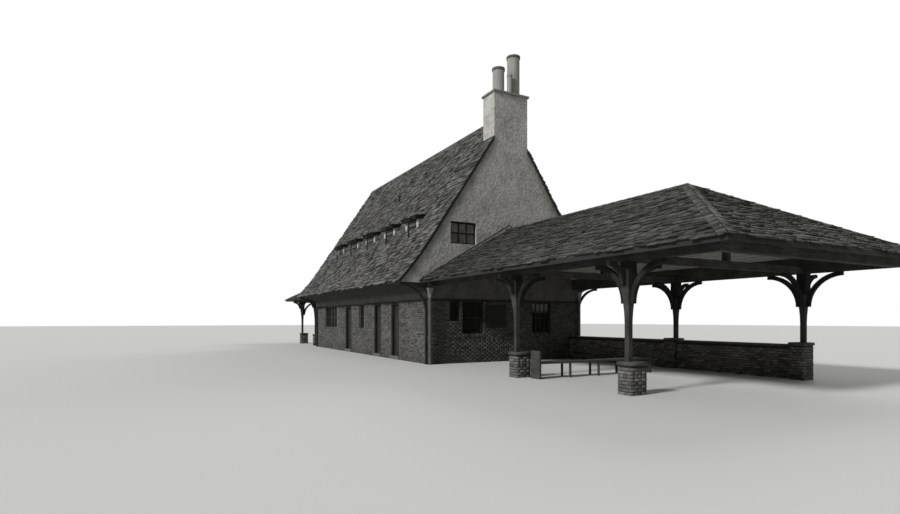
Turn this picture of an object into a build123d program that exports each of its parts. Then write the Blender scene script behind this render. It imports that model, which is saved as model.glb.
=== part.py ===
"""A cottage-style railway station, brick under a steep bell-cast roof, with a timber canopy at each end.

The street side faces -Y, the near gable faces +X, and Z is up from the ground. Every size is in millimetres.
Places along the building are measured back from the near gable, and places across it from the street face.
"""
import os
from math import atan, atan2, cos, hypot, sin

from build123d import *

os.makedirs("parts", exist_ok=True)

# Main block
length = 15200
width = 7000
wall = 330
slab_top = 130
storey_head = 2300
belt_height = 70
belt_proud = 30
attic_floor_above_head = 700
attic_floor_depth = 180

# Main roof, a straight slope that flares out over a coved eave
roof_slope = 1.5
roof_depth = 80
flare_inset = 100
flare_rise = 1600
eave_reach = 1150
eave_above_head = 700
verge_overhang = 30
ridge_cap_width = 170
ridge_cap_depth = 30

# Coved eave
cove_skin = 40
cove_frieze = 55
cove_lip = 60
cove_gap = 15
cove_end_setback = 60

# Curved brackets at the four corners, each on a leg down the wall
bracket_depth = 75
bracket_width = 110
bracket_setback = 20

# Street doors, each as far back from the near gable as its opening starts
near_door_at = 2660
near_door_width = 850
middle_door_at = 4650
middle_door_width = 860
far_door_at = 8700
far_door_width = 980
door_reveal = 20
door_frame = 70
door_frame_depth = 150
door_stop = 15
leaf_depth = 45
leaf_gap = 5
leaf_floor_gap = 8
leaf_rail = 110
leaf_panel_sink = 10
hinge_radius = 8
hinge_pin_radius = 4
hinge_play = 0.3
hinge_offset = 10
hinge_length = 36
hinge_plate = 40
hinge_plate_depth = 6
hinge_from_foot = 300
hinge_from_head = 350
knob_radius = 28
knob_reach = 55
knob_height = 870
sill_proud = 45

# Windows
window_recess = 90
window_frame = 55
window_frame_depth = 60
window_bar = 40
window_bar_depth = 35
glass_depth = 8
wide_window_at = 11200
wide_window_width = 2300
wide_window_lights = 4
slim_window_at = 6850
slim_window_width = 720
slim_window_lights = 1
street_window_rows = 2
street_sill = 1200
end_light_at = 890
end_light_width = 410
end_light_sill = 1560
end_light_panes = 1
left_sash_at = 1430
left_sash_width = 905
left_sash_lights = 1
right_sash_at = 4625
right_sash_width = 910
right_sash_lights = 4
end_sash_rows = 2
end_sash_sill = 1080
gable_window_from_side = 1475
gable_window_width = 1095
gable_window_lights = 3
gable_window_rows = 2
gable_window_sill = 1430
gable_window_height = 820

# Chimney at the near gable
chimney_at = 2830
chimney_width = 1550
chimney_depth = 810
chimney_above_ridge = 690
chimney_shoulder = 1250
chimney_cap_depth = 90
chimney_cap_overhang = 55
chimney_cap_chamfer = 22
pot_wall = 40
pot_rim = 25
pot_rim_height = 90
middle_pot_at = 450
middle_pot_radius = 230
middle_pot_height = 1020
wide_pot_at = 1160
wide_pot_radius = 250
wide_pot_height = 1635
slim_pot_at = 790
slim_pot_in = 120
slim_pot_radius = 90
slim_pot_height = 765
slim_pot_wall = 20

# Roof vent pipe
vent_at = 7300
vent_in = 1950
vent_radius = 50
vent_bore = 38
vent_rise = 350

# Row of dormers on each slope
dormer_count = 5
dormer_first_at = 2700
dormer_spacing = 2430
hood_width = 1400
hood_front = 420
hood_rise = 655
hood_slope = 0.13
hood_depth = 130
dormer_width = 1290
dormer_jamb = 190
dormer_jamb_front = 570
louvre_count = 4
louvre_depth = 14
louvre_width = 70
louvre_tilt = 35
louvre_back_gap = 20
spout_radius = 28
spout_from_hood = 160
spout_from_middle = 400
spout_foot_gap = 15

# Canopies
canopy_ridge = 5110
canopy_eave = 3040
canopy_eave_out = 310
canopy_roof_depth = 100
canopy_overhang = 2700
near_post_at = 5130
near_bay = 4115
far_post_at = 1400
far_bay = 3500
post_line = 255
post_foot = 115
post_head = 240
post_flare_foot = 1450
post_flare_top = 2300
beam_underside = 2840
beam_width = 180
tie_depth = 180
tie_width = 150
king_post = 140
canopy_ridge_cap_width = 150
brace_radius = 900
brace_depth = 110
brace_width = 90
brace_bite = 12
outer_brace_radius = 480
pier_line = 360
pier_width = 360
pier_across = 450
front_pier_height = 700
pier_cap_depth = 60
pier_cap_overhang = 20
parapet_height = 930
parapet_depth = 230
flashing_depth = 25
flashing_rise_low = 40
flashing_rise_high = 190

# Bench under the near canopy
bench_at = 5710
bench_first = 450
bench_length = 4260
bench_seat_height = 450
bench_seat_depth = 400
bench_plank = 45
bench_end_depth = 60
bench_end_height = 760
bench_leg = 50
bench_leg_pairs = 3

# Downspouts at the four corners
pipe_radius = 58
pipe_from_corner = 30
pipe_gap = 12
pipe_clip_height = 40
pipe_clip_spacing = 1000
pipe_clip_count = 2
rain_head_width = 200
rain_head_depth = 170
rain_head_above_belt = 50
rain_head_height = 330

# Notice board between the near end's windows
board_at = 2420
board_width = 930
board_foot = 1300
board_height = 880
board_depth = 30

# Levels and lines that follow from the driving sizes
near_x = length / 2
street_y = -width / 2
inner_x = near_x - wall
inner_y = street_y + wall
belt_top = storey_head + belt_height
attic_floor_top = storey_head + attic_floor_above_head
eave_height = storey_head + eave_above_head
flare_start = eave_height + flare_rise
pitch = atan(roof_slope)
flare_y = street_y + flare_inset
eave_y = street_y - eave_reach
ridge_z = flare_start - roof_slope * flare_y
chimney_top = ridge_z + chimney_above_ridge

# The flare is one arc, tangent to the straight slope and ending at the eave
chord_run = flare_y - eave_y
chord_fall = flare_start - eave_height
chord_off = chord_run * sin(pitch) - chord_fall * cos(pitch)
flare_radius = hypot(chord_run, chord_fall) ** 2 / (2 * chord_off)
eave_pitch = 2 * atan2(chord_fall, chord_run) - pitch
flare_centre_y = flare_y - flare_radius * sin(pitch)
flare_centre_z = flare_start + flare_radius * cos(pitch)


def flare_point(angle, depth):
    """A point of the flare where the roof lies at this angle, this deep under its outer face."""
    radius = flare_radius + depth
    return flare_centre_y + radius * sin(angle), flare_centre_z - radius * cos(angle)


def slope_height(y, depth=0):
    """The height of the straight slope over a place across the building, this deep under its face."""
    return ridge_z - roof_slope * abs(y) - depth / cos(pitch)


def place(distance):
    """The X of a place this far back from the near gable."""
    return near_x - distance


def across(distance):
    """The Y of a place this far in from the street face."""
    return street_y + distance


def block(x0, x1, y0, y1, z0, z1, mode=Mode.ADD):
    """A squared block of the part being built, from its lower to its upper corner."""
    with Locations(((x0 + x1) / 2, (y0 + y1) / 2, (z0 + z1) / 2)):
        Box(x1 - x0, y1 - y0, z1 - z0, mode=mode)


def upright(x0, x1, z0, z1, mode=Mode.ADD):
    """A rectangle of an elevation, from its left side to its right and its foot to its head."""
    with Locations(((x0 + x1) / 2, (z0 + z1) / 2)):
        Rectangle(x1 - x0, z1 - z0, mode=mode)


def save(part, label):
    """Labels a finished piece and writes it."""
    part.label = label
    export_step(part, f"parts/{label}.step")


street_face = Plane.XZ.offset(-street_y)
near_face = Plane.YZ.offset(near_x)

street_doors = [
    ("near_door", near_door_at, near_door_width),
    ("middle_door", middle_door_at, middle_door_width),
    ("far_door", far_door_at, far_door_width),
]
street_windows = [
    (wide_window_at, wide_window_width, wide_window_lights, street_window_rows),
    (slim_window_at, slim_window_width, slim_window_lights, street_window_rows),
]
end_windows = [
    (end_light_at, end_light_width, end_light_sill, end_light_panes, end_light_panes),
    (left_sash_at, left_sash_width, end_sash_sill, left_sash_lights, end_sash_rows),
    (right_sash_at, right_sash_width, end_sash_sill, right_sash_lights, end_sash_rows),
]

# Floors
with BuildPart() as floor_slab:
    block(-inner_x, inner_x, inner_y, -inner_y, 0, slab_top)
save(floor_slab.part, "floor_slab")

breast_left = across(chimney_at)
breast_right = breast_left + chimney_width
breast_back = near_x - chimney_depth

with BuildPart() as attic_floor:
    block(-inner_x, inner_x, inner_y, -inner_y, attic_floor_top - attic_floor_depth, attic_floor_top)
    block(breast_back, inner_x, breast_left, breast_right, 0, chimney_top, mode=Mode.SUBTRACT)
save(attic_floor.part, "attic_floor")

# Ground storey: the doors cut the long walls right through, and the belt is the windows' lintel
with BuildPart() as front_wall:
    with BuildSketch(street_face):
        upright(-near_x, near_x, 0, storey_head)
        for _, at, opening in street_doors:
            upright(place(at + opening), place(at), 0, storey_head, mode=Mode.SUBTRACT)
        for at, opening, _, _ in street_windows:
            upright(place(at + opening), place(at), street_sill, storey_head, mode=Mode.SUBTRACT)
    extrude(amount=-wall)
save(front_wall.part, "front_wall")

with BuildPart() as rear_wall:
    mirror(front_wall.part, about=Plane.XZ)
save(rear_wall.part, "rear_wall")

with BuildPart() as end_walls:
    with BuildSketch(near_face):
        upright(inner_y, -inner_y, 0, storey_head)
        for at, opening, sill, _, _ in end_windows:
            upright(across(at), across(at + opening), sill, storey_head, mode=Mode.SUBTRACT)
    extrude(amount=-wall)
    mirror(about=Plane.YZ)
save(end_walls.part, "end_walls")

# The belt is a timber plate laid round the wall heads, its edge just proud of the brick
with BuildPart() as long_belts:
    block(-near_x - belt_proud, near_x + belt_proud, street_y - belt_proud, inner_y, storey_head, belt_top)
    mirror(about=Plane.XZ)
save(long_belts.part, "long_belts")

with BuildPart() as end_belts:
    block(inner_x, near_x + belt_proud, inner_y, -inner_y, storey_head, belt_top)
    mirror(about=Plane.YZ)
save(end_belts.part, "end_belts")

# Main roof
shoulder_z = ridge_z - chimney_shoulder - wall
eave_outer = flare_point(eave_pitch, 0)
eave_inner = flare_point(eave_pitch, roof_depth)
middle_pitch = (pitch + eave_pitch) / 2
roof_end_x = near_x + verge_overhang
dormer_places = [place(dormer_first_at + dormer_spacing * i) for i in range(dormer_count)]
hood_back = hood_front + hood_rise / (roof_slope - hood_slope)
hood_under_back = hood_back - hood_depth / (roof_slope - hood_slope)
vent_gap = (dormer_width - 2 * dormer_jamb) / 2
vent_front = dormer_jamb_front + louvre_width + louvre_back_gap

with BuildPart() as front_roof:
    with BuildSketch(Plane.YZ.offset(-roof_end_x)):
        with BuildLine():
            outer_slope = Line((0, ridge_z), flare_point(pitch, 0))
            outer_flare = ThreePointArc(outer_slope @ 1, flare_point(middle_pitch, 0), eave_outer)
            eave_edge = Line(outer_flare @ 1, eave_inner)
            inner_flare = ThreePointArc(
                eave_edge @ 1, flare_point(middle_pitch, roof_depth), flare_point(pitch, roof_depth)
            )
            inner_slope = Line(inner_flare @ 1, (0, slope_height(0, roof_depth)))
            Line(inner_slope @ 1, outer_slope @ 0)
        make_face()
    extrude(amount=2 * roof_end_x)
    block(breast_back, roof_end_x, breast_left, breast_right, shoulder_z, chimney_top, mode=Mode.SUBTRACT)
    for x in dormer_places:
        block(
            x - vent_gap, x + vent_gap, across(vent_front), across(hood_under_back), 0, ridge_z,
            mode=Mode.SUBTRACT,
        )
save(front_roof.part, "front_roof")

with BuildPart() as rear_roof:
    mirror(front_roof.part, about=Plane.XZ)
    block(breast_back, roof_end_x, breast_left, breast_right, shoulder_z, chimney_top, mode=Mode.SUBTRACT)
save(rear_roof.part, "rear_roof")

# A bent cap straddles the ridge and stops against the chimney
with BuildPart() as ridge_cap:
    with BuildSketch(Plane.YZ.offset(-roof_end_x)):
        with BuildLine():
            cap_run = ridge_cap_width * cos(pitch)
            foot = (-cap_run, slope_height(cap_run))
            foot_top = (-cap_run, slope_height(cap_run, -ridge_cap_depth))
            Polyline((0, ridge_z), foot, foot_top, (0, slope_height(0, -ridge_cap_depth)), close=True)
        make_face()
        mirror(about=Plane.YZ)
    extrude(amount=roof_end_x + breast_back)
save(ridge_cap.part, "ridge_cap")

# Upper walls, hidden outside behind the coves
with BuildPart() as upper_long_walls:
    with BuildSketch(Plane.YZ.offset(-inner_x)):
        with BuildLine():
            Polyline(
                (street_y, belt_top),
                (inner_y, belt_top),
                (inner_y, slope_height(inner_y, roof_depth)),
                (flare_y, slope_height(flare_y, roof_depth)),
                (street_y, slope_height(street_y, roof_depth) - belt_proud),
                close=True,
            )
        make_face()
    extrude(amount=2 * inner_x)
    add(front_roof.part, mode=Mode.SUBTRACT)
    mirror(about=Plane.XZ)
save(upper_long_walls.part, "upper_long_walls")

# Stuccoed gables, each one plate that runs out under the flared eaves
gable_window_from_middle = width / 2 - gable_window_from_side
gable_window_foot = attic_floor_top + gable_window_sill
gable_window_middle = gable_window_foot + gable_window_height / 2

with BuildPart() as gable_plate:
    with BuildSketch(near_face):
        with BuildLine():
            Polyline(
                (0, slope_height(0, roof_depth)),
                (0, belt_top),
                (street_y, belt_top),
                (street_y, eave_inner[1]),
                eave_inner,
            )
            underside = ThreePointArc(
                eave_inner, flare_point(middle_pitch, roof_depth), flare_point(pitch, roof_depth)
            )
            Line(underside @ 1, (0, slope_height(0, roof_depth)))
        make_face()
        mirror(about=Plane.YZ)
        for side in (-1, 1):
            with Locations((side * gable_window_from_middle, gable_window_middle)):
                Rectangle(gable_window_width, gable_window_height, mode=Mode.SUBTRACT)
    extrude(amount=-wall)

with BuildPart() as gables:
    add(gable_plate.part)
    mirror(about=Plane.YZ)
    block(inner_x, near_x, breast_left, breast_right, shoulder_z, chimney_top, mode=Mode.SUBTRACT)
save(gables.part, "gables")

# Coved plaster eaves: a thin quarter-oval shell from the belt out to the eave, closed at each end
cove_reach = street_y - eave_inner[0] - cove_lip
cove_top = eave_inner[1] - cove_gap
cove_spring = belt_top + cove_frieze
cove_rise = cove_top - cove_spring
cove_centre = (street_y - cove_reach, cove_spring)


def cove_curve(skin):
    """The quarter oval from the wall face up to the eave, drawn this far behind the visible face."""
    return EllipticalCenterArc(
        cove_centre, cove_reach - cove_skin + skin, cove_rise + skin, start_angle=0, arc_size=90
    )


with BuildPart() as eave_coves:
    with BuildSketch(Plane.YZ):
        with BuildLine():
            face = cove_curve(0)
            back = cove_curve(cove_skin)
            Polyline(face @ 0, (street_y - cove_skin, belt_top), (street_y, belt_top), back @ 0)
            lip = (eave_inner[0], cove_top)
            lip_back = (eave_inner[0], cove_top + cove_skin)
            Polyline(face @ 1, lip, lip_back, back @ 1)
        make_face()
    extrude(amount=inner_x)
    with BuildSketch(Plane.YZ.offset(inner_x)):
        with BuildLine():
            face = cove_curve(0)
            Polyline(
                face @ 0, (street_y - cove_skin, belt_top), (street_y, belt_top), (street_y, eave_inner[1]),
                eave_inner, (eave_inner[0], cove_top), face @ 1,
            )
        make_face()
    extrude(amount=wall - cove_end_setback)
    add(front_roof.part, mode=Mode.SUBTRACT)
    mirror(about=Plane.YZ)
    mirror(about=Plane.XZ)
save(eave_coves.part, "eave_coves")

# Corner brackets: a leg up the wall face that curves out to the eave
bracket_radius = cove_reach + cove_lip
bracket_spring = cove_top - bracket_radius
bracket_x = near_x - bracket_setback - bracket_width

with BuildPart() as corner_brackets:
    with BuildSketch(Plane.YZ.offset(bracket_x)):
        with Locations((eave_inner[0], bracket_spring)):
            Circle(bracket_radius)
            Circle(bracket_radius - bracket_depth, mode=Mode.SUBTRACT)
        upright(eave_inner[0], street_y, bracket_spring, cove_top, mode=Mode.INTERSECT)
        upright(street_y - bracket_depth, street_y, 0, bracket_spring)
    extrude(amount=bracket_width)
    mirror(about=Plane.XZ)
    mirror(about=Plane.YZ)
save(corner_brackets.part, "corner_brackets")

# Chimney: a breast behind the end wall, and a full-depth stack above the gable's shoulder
with BuildPart() as chimney_stack:
    block(breast_back, inner_x, breast_left, breast_right, slab_top, shoulder_z)
    block(breast_back, near_x, breast_left, breast_right, shoulder_z, chimney_top)
save(chimney_stack.part, "chimney_stack")

cap_top = chimney_top + chimney_cap_depth
with BuildPart() as chimney_cap:
    block(
        breast_back - chimney_cap_overhang, near_x + chimney_cap_overhang,
        breast_left - chimney_cap_overhang, breast_right + chimney_cap_overhang,
        chimney_top, cap_top,
    )
    chamfer(chimney_cap.edges().group_by(Axis.Z)[-1], length=chimney_cap_chamfer)
save(chimney_cap.part, "chimney_cap")

chimney_middle_x = near_x - chimney_depth / 2
on_foot = (Align.CENTER, Align.CENTER, Align.MIN)
pots = [
    (chimney_middle_x, breast_left + middle_pot_at, middle_pot_radius, middle_pot_height, pot_wall),
    (chimney_middle_x, breast_left + wide_pot_at, wide_pot_radius, wide_pot_height, pot_wall),
    (near_x - slim_pot_in, breast_left + slim_pot_at, slim_pot_radius, slim_pot_height, slim_pot_wall),
]

with BuildPart() as chimney_pots:
    for x, y, radius, height, skin in pots:
        with Locations((x, y, cap_top)):
            Cylinder(radius, height, align=on_foot)
            Cylinder(radius - skin, height, align=on_foot, mode=Mode.SUBTRACT)
        with Locations((x, y, cap_top + height - pot_rim_height)):
            Cylinder(radius + pot_rim, pot_rim_height, align=on_foot)
            Cylinder(radius - skin, pot_rim_height, align=on_foot, mode=Mode.SUBTRACT)
save(chimney_pots.part, "chimney_pots")

# Vent pipe, its foot scribed to the slope
with BuildPart() as vent_pipe:
    with Locations((place(vent_at), across(vent_in), 0)):
        Cylinder(vent_radius, slope_height(across(vent_in)) + vent_rise, align=on_foot)
        Cylinder(vent_bore, 2 * ridge_z, mode=Mode.SUBTRACT)
    with BuildSketch(Plane.YZ.offset(-near_x)):
        with BuildLine():
            Polyline((0, 0), (street_y, 0), (street_y, slope_height(street_y)), (0, ridge_z), close=True)
        make_face()
    extrude(amount=length, mode=Mode.SUBTRACT)
save(vent_pipe.part, "vent_pipe")

# Dormers: white jambs on the slope carry a shallow hood, with louvres between them and a spout that drops
# from the hood's face to the slates


def hood_top(distance):
    """The height of a hood's top this far in from the street face."""
    return slope_height(across(hood_front)) + hood_rise + hood_slope * (distance - hood_front)


spout_y = across(hood_front - spout_from_hood)
spout_foot = slope_height(spout_y + spout_radius) + spout_foot_gap
spout_top = hood_top(hood_front) - hood_depth / 2

with BuildPart() as dormer_hoods:
    for x in dormer_places:
        spout_x = x + spout_from_middle
        with Locations((spout_x, spout_y, spout_foot)):
            Cylinder(spout_radius, spout_top - spout_foot, align=on_foot)
        with Locations(Location((spout_x, spout_y, spout_top - spout_radius), (-90, 0, 0))):
            Cylinder(spout_radius, spout_from_hood, align=on_foot)
        with BuildSketch(Plane.YZ.offset(x - hood_width / 2)):
            with BuildLine():
                Polyline(
                    (across(hood_front), hood_top(hood_front) - hood_depth),
                    (across(hood_front), hood_top(hood_front)),
                    (across(hood_back), slope_height(across(hood_back))),
                    (across(hood_under_back), slope_height(across(hood_under_back))),
                    close=True,
                )
            make_face()
        extrude(amount=hood_width)
    mirror(about=Plane.XZ)
save(dormer_hoods.part, "dormer_hoods")

with BuildPart() as dormer_jambs:
    for x in dormer_places:
        for left in (x - dormer_width / 2, x + dormer_width / 2 - dormer_jamb):
            with BuildSketch(Plane.YZ.offset(left)):
                with BuildLine():
                    Polyline(
                        (across(dormer_jamb_front), slope_height(across(dormer_jamb_front))),
                        (across(dormer_jamb_front), hood_top(dormer_jamb_front) - hood_depth),
                        (across(hood_under_back), slope_height(across(hood_under_back))),
                        close=True,
                    )
                make_face()
            extrude(amount=dormer_jamb)
    mirror(about=Plane.XZ)
save(dormer_jambs.part, "dormer_jambs")

louvre_foot = slope_height(across(dormer_jamb_front + louvre_width))
louvre_head = hood_top(dormer_jamb_front) - hood_depth
louvre_step = (louvre_head - louvre_foot) / louvre_count
louvre_y = across(dormer_jamb_front + louvre_width / 2)

with BuildPart() as dormer_louvres:
    for x in dormer_places:
        for i in range(louvre_count):
            middle = (x, louvre_y, louvre_foot + louvre_step * (i + 0.5))
            with Locations(Location(middle, (louvre_tilt, 0, 0))):
                Box(2 * vent_gap, louvre_width, louvre_depth)
    mirror(about=Plane.XZ)
save(dormer_louvres.part, "dormer_louvres")

# Street doors: jambs with a stop and hinge knuckles, heads, stone sills and hinged leaves
frame_front = street_y + door_reveal
frame_back = frame_front + door_frame_depth
leaf_front = frame_back - leaf_depth
hinge_y = frame_back + hinge_offset
leaf_foot = slab_top + leaf_floor_gap
leaf_head = storey_head - door_frame - leaf_gap
hinge_heights = (slab_top + hinge_from_foot, leaf_head - hinge_from_head)
knob_z = slab_top + knob_height


def knuckle(x, z, height, plate_x0, plate_x1):
    """A hinge knuckle standing on the leaf's inner side, with the plate that carries it."""
    with Locations((x, hinge_y, z)):
        Cylinder(hinge_radius, height, align=on_foot)
    block(plate_x0, plate_x1, frame_back, frame_back + hinge_plate_depth, z, z + height)


with BuildPart() as door_jambs:
    for _, at, opening in street_doors:
        left = place(at + opening)
        right = place(at)
        block(left, left + door_frame, frame_front, frame_back, slab_top, storey_head - door_frame)
        block(right - door_frame, right, frame_front, frame_back, slab_top, storey_head - door_frame)
        block(
            left, left + door_frame + door_stop, frame_front, leaf_front - leaf_gap,
            slab_top, storey_head - door_frame,
        )
        block(
            right - door_frame - door_stop, right, frame_front, leaf_front - leaf_gap,
            slab_top, storey_head - door_frame,
        )
        hinge_x = left + door_frame
        for z in hinge_heights:
            knuckle(hinge_x, z - hinge_length, hinge_length, hinge_x - hinge_plate, hinge_x)
            knuckle(hinge_x, z + hinge_length, hinge_length, hinge_x - hinge_plate, hinge_x)
            with Locations((hinge_x, hinge_y, z + hinge_length / 2)):
                Cylinder(hinge_pin_radius, 2 * hinge_length)
save(door_jambs.part, "door_jambs")

with BuildPart() as door_heads:
    for _, at, opening in street_doors:
        block(place(at + opening), place(at), frame_front, frame_back, storey_head - door_frame, storey_head)
save(door_heads.part, "door_heads")

with BuildPart() as door_sills:
    for _, at, opening in street_doors:
        block(place(at + opening), place(at), street_y - sill_proud, inner_y, 0, slab_top)
    mirror(about=Plane.XZ)
save(door_sills.part, "door_sills")


def door_leaf(x0, x1, y0, y1, z0, z1):
    """A framed leaf with two sunk panels on each face."""
    block(x0, x1, y0, y1, z0, z1)
    middle = (z0 + z1) / 2
    for foot, head in ((z0 + leaf_rail, middle - leaf_rail / 2), (middle + leaf_rail / 2, z1 - leaf_rail)):
        block(x0 + leaf_rail, x1 - leaf_rail, y0, y0 + leaf_panel_sink, foot, head, mode=Mode.SUBTRACT)
        block(x0 + leaf_rail, x1 - leaf_rail, y1 - leaf_panel_sink, y1, foot, head, mode=Mode.SUBTRACT)


for name, at, opening in street_doors:
    hinge_x = place(at + opening) + door_frame
    free_x = place(at) - door_frame - leaf_gap
    with BuildPart() as leaf:
        door_leaf(hinge_x + leaf_gap, free_x, leaf_front, frame_back, leaf_foot, leaf_head)
        knob_x = free_x - leaf_rail / 2
        with Locations(Location((knob_x, (leaf_front + frame_back) / 2, knob_z), (90, 0, 0))):
            Cylinder(knob_radius / 2, leaf_depth + 2 * knob_reach)
        for y in (leaf_front - knob_reach, frame_back + knob_reach):
            with Locations((knob_x, y, knob_z)):
                Sphere(knob_radius)
        for z in hinge_heights:
            knuckle(hinge_x, z + hinge_play, hinge_length - 2 * hinge_play, hinge_x, hinge_x + hinge_plate)
            with Locations((hinge_x, hinge_y, z + hinge_length / 2)):
                Cylinder(hinge_pin_radius + hinge_play, 2 * hinge_length, mode=Mode.SUBTRACT)
    save(leaf.part, name)

# Rear doors, kept shut: frame and leaf are one piece each
with BuildPart() as shut_doors:
    for _, at, opening in street_doors:
        left = place(at + opening)
        right = place(at)
        block(left, right, frame_front, frame_back, slab_top, storey_head)
        block(
            left + door_frame, right - door_frame, frame_front, leaf_front,
            slab_top, storey_head - door_frame, mode=Mode.SUBTRACT,
        )

with BuildPart() as rear_doors:
    mirror(shut_doors.part, about=Plane.XZ)
save(rear_doors.part, "rear_doors")


# Windows: a frame ring with shallower bars, and one sheet of glass behind the bars
def window_opening(width_across, height_up):
    """The clear size inside a window's frame ring."""
    return width_across - 2 * window_frame, height_up - 2 * window_frame


def window_frame_at(plane, middle, width_across, height_up, lights, rows):
    """A frame ring and its bars, set back from a wall's outer face."""
    clear_w, clear_h = window_opening(width_across, height_up)
    with BuildSketch(plane.offset(-window_recess)) as ring:
        with Locations(middle):
            Rectangle(width_across, height_up)
            Rectangle(clear_w, clear_h, mode=Mode.SUBTRACT)
    extrude(ring.sketch, amount=-window_frame_depth)
    pane_w = (clear_w - (lights - 1) * window_bar) / lights
    pane_h = (clear_h - (rows - 1) * window_bar) / rows
    with BuildSketch(plane.offset(-window_recess)) as bars:
        with Locations(middle):
            Rectangle(width_across, height_up)
            with GridLocations(pane_w + window_bar, pane_h + window_bar, lights, rows):
                Rectangle(pane_w, pane_h, mode=Mode.SUBTRACT)
    extrude(bars.sketch, amount=-window_bar_depth)


def window_glass_at(plane, middle, width_across, height_up):
    """The sheet of glass that lies against the back of a window's bars."""
    with BuildSketch(plane.offset(-window_recess - window_bar_depth)) as sheet:
        with Locations(middle):
            Rectangle(*window_opening(width_across, height_up))
    extrude(sheet.sketch, amount=-glass_depth)


street_window_places = [
    ((place(at + span / 2), (street_sill + storey_head) / 2), span, storey_head - street_sill, lights, rows)
    for at, span, lights, rows in street_windows
]
end_window_places = [
    ((across(at + span / 2), (sill + storey_head) / 2), span, storey_head - sill, lights, rows)
    for at, span, sill, lights, rows in end_windows
]
gable_window_places = [
    (
        (side * gable_window_from_middle, gable_window_middle), gable_window_width, gable_window_height,
        gable_window_lights, gable_window_rows,
    )
    for side in (-1, 1)
]

with BuildPart() as street_frames:
    for middle, opening, height, lights, rows in street_window_places:
        window_frame_at(street_face, middle, opening, height, lights, rows)

with BuildPart() as near_frames:
    for middle, opening, height, lights, rows in end_window_places:
        window_frame_at(near_face, middle, opening, height, lights, rows)

with BuildPart() as ground_window_frames:
    add(street_frames.part)
    mirror(street_frames.part, about=Plane.XZ)
    add(near_frames.part)
    mirror(near_frames.part, about=Plane.YZ)
save(ground_window_frames.part, "ground_window_frames")

with BuildPart() as gable_window_frames:
    for middle, opening, height, lights, rows in gable_window_places:
        window_frame_at(near_face, middle, opening, height, lights, rows)
    mirror(about=Plane.YZ)
save(gable_window_frames.part, "gable_window_frames")

with BuildPart() as street_glass:
    for middle, opening, height, _, _ in street_window_places:
        window_glass_at(street_face, middle, opening, height)

with BuildPart() as end_glass:
    for middle, opening, height, _, _ in end_window_places + gable_window_places:
        window_glass_at(near_face, middle, opening, height)

with BuildPart() as window_glass:
    add(street_glass.part)
    mirror(street_glass.part, about=Plane.XZ)
    add(end_glass.part)
    mirror(end_glass.part, about=Plane.YZ)
save(window_glass.part, "window_glass")

# Canopies: hipped roofs on flared posts with curved braces, standing on brick piers
canopy_half = canopy_eave_out - street_y
canopy_slope = (canopy_ridge - canopy_eave) / canopy_half
canopy_pitch = atan(canopy_slope)
canopy_drop = canopy_roof_depth / cos(canopy_pitch)
near_posts = [near_x + near_post_at, near_x + near_post_at + near_bay]
far_posts = [-near_x - far_post_at, -near_x - far_post_at - far_bay]
near_end = near_posts[-1] + canopy_overhang
far_end = far_posts[-1] - canopy_overhang
canopies = [(1, near_x, near_end, near_posts), (-1, -near_x, far_end, far_posts)]


def canopy_height(from_eave, depth=0):
    """The height of a canopy's roof this far in from its eave, this deep under its outer face."""
    return canopy_eave + canopy_slope * from_eave - depth / cos(canopy_pitch)


def clipped(plane, section, run, outline):
    """A length of a closed section, cut to an outline seen from above."""
    with BuildPart() as piece:
        with BuildSketch(plane):
            with BuildLine():
                Polyline(*section, close=True)
            make_face()
        extrude(amount=run)
        with BuildSketch(Plane.XY):
            with BuildLine():
                Polyline(*outline, close=True)
            make_face()
        extrude(amount=2 * canopy_ridge, mode=Mode.INTERSECT)
    return piece.part


def slope_outline(side, wall_x, end_x):
    """A front slope seen from above, from the wall to its hip."""
    return [(wall_x, -canopy_half), (end_x, -canopy_half), (end_x - side * canopy_half, 0), (wall_x, 0)]


def hip_outline(side, end_x):
    """A hip end seen from above."""
    return [(end_x, -canopy_half), (end_x - side * canopy_half, 0), (end_x, canopy_half)]


canopy_section = [
    (0, canopy_height(0)),
    (canopy_half, canopy_height(canopy_half)),
    (canopy_half, canopy_height(canopy_half, canopy_roof_depth)),
    (0, canopy_height(0, canopy_roof_depth)),
]


def along_wall(section, side, wall_x, end_x):
    """A section measured in from the eave, run out from a gable along the street side as far as the hip."""
    face = [(inset - canopy_half, z) for inset, z in section]
    return clipped(Plane.YZ.offset(wall_x), face, end_x - wall_x, slope_outline(side, wall_x, end_x))


def along_end(section, side, end_x):
    """A section measured in from the eave, run across a canopy's free end between its hips."""
    face = [(end_x - side * inset, z) for inset, z in section]
    return clipped(Plane.XZ.offset(-canopy_half), face, 2 * canopy_half, hip_outline(side, end_x))


front_slopes = [along_wall(canopy_section, side, wall_x, end_x) for side, wall_x, end_x, _ in canopies]
hip_ends = [along_end(canopy_section, side, end_x) for side, _, end_x, _ in canopies]

with BuildPart() as canopy_front_slopes:
    add(front_slopes)
save(canopy_front_slopes.part, "canopy_front_slopes")

with BuildPart() as canopy_rear_slopes:
    mirror(canopy_front_slopes.part, about=Plane.XZ)
save(canopy_rear_slopes.part, "canopy_rear_slopes")

with BuildPart() as canopy_hip_ends:
    add(hip_ends)
save(canopy_hip_ends.part, "canopy_hip_ends")

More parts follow.
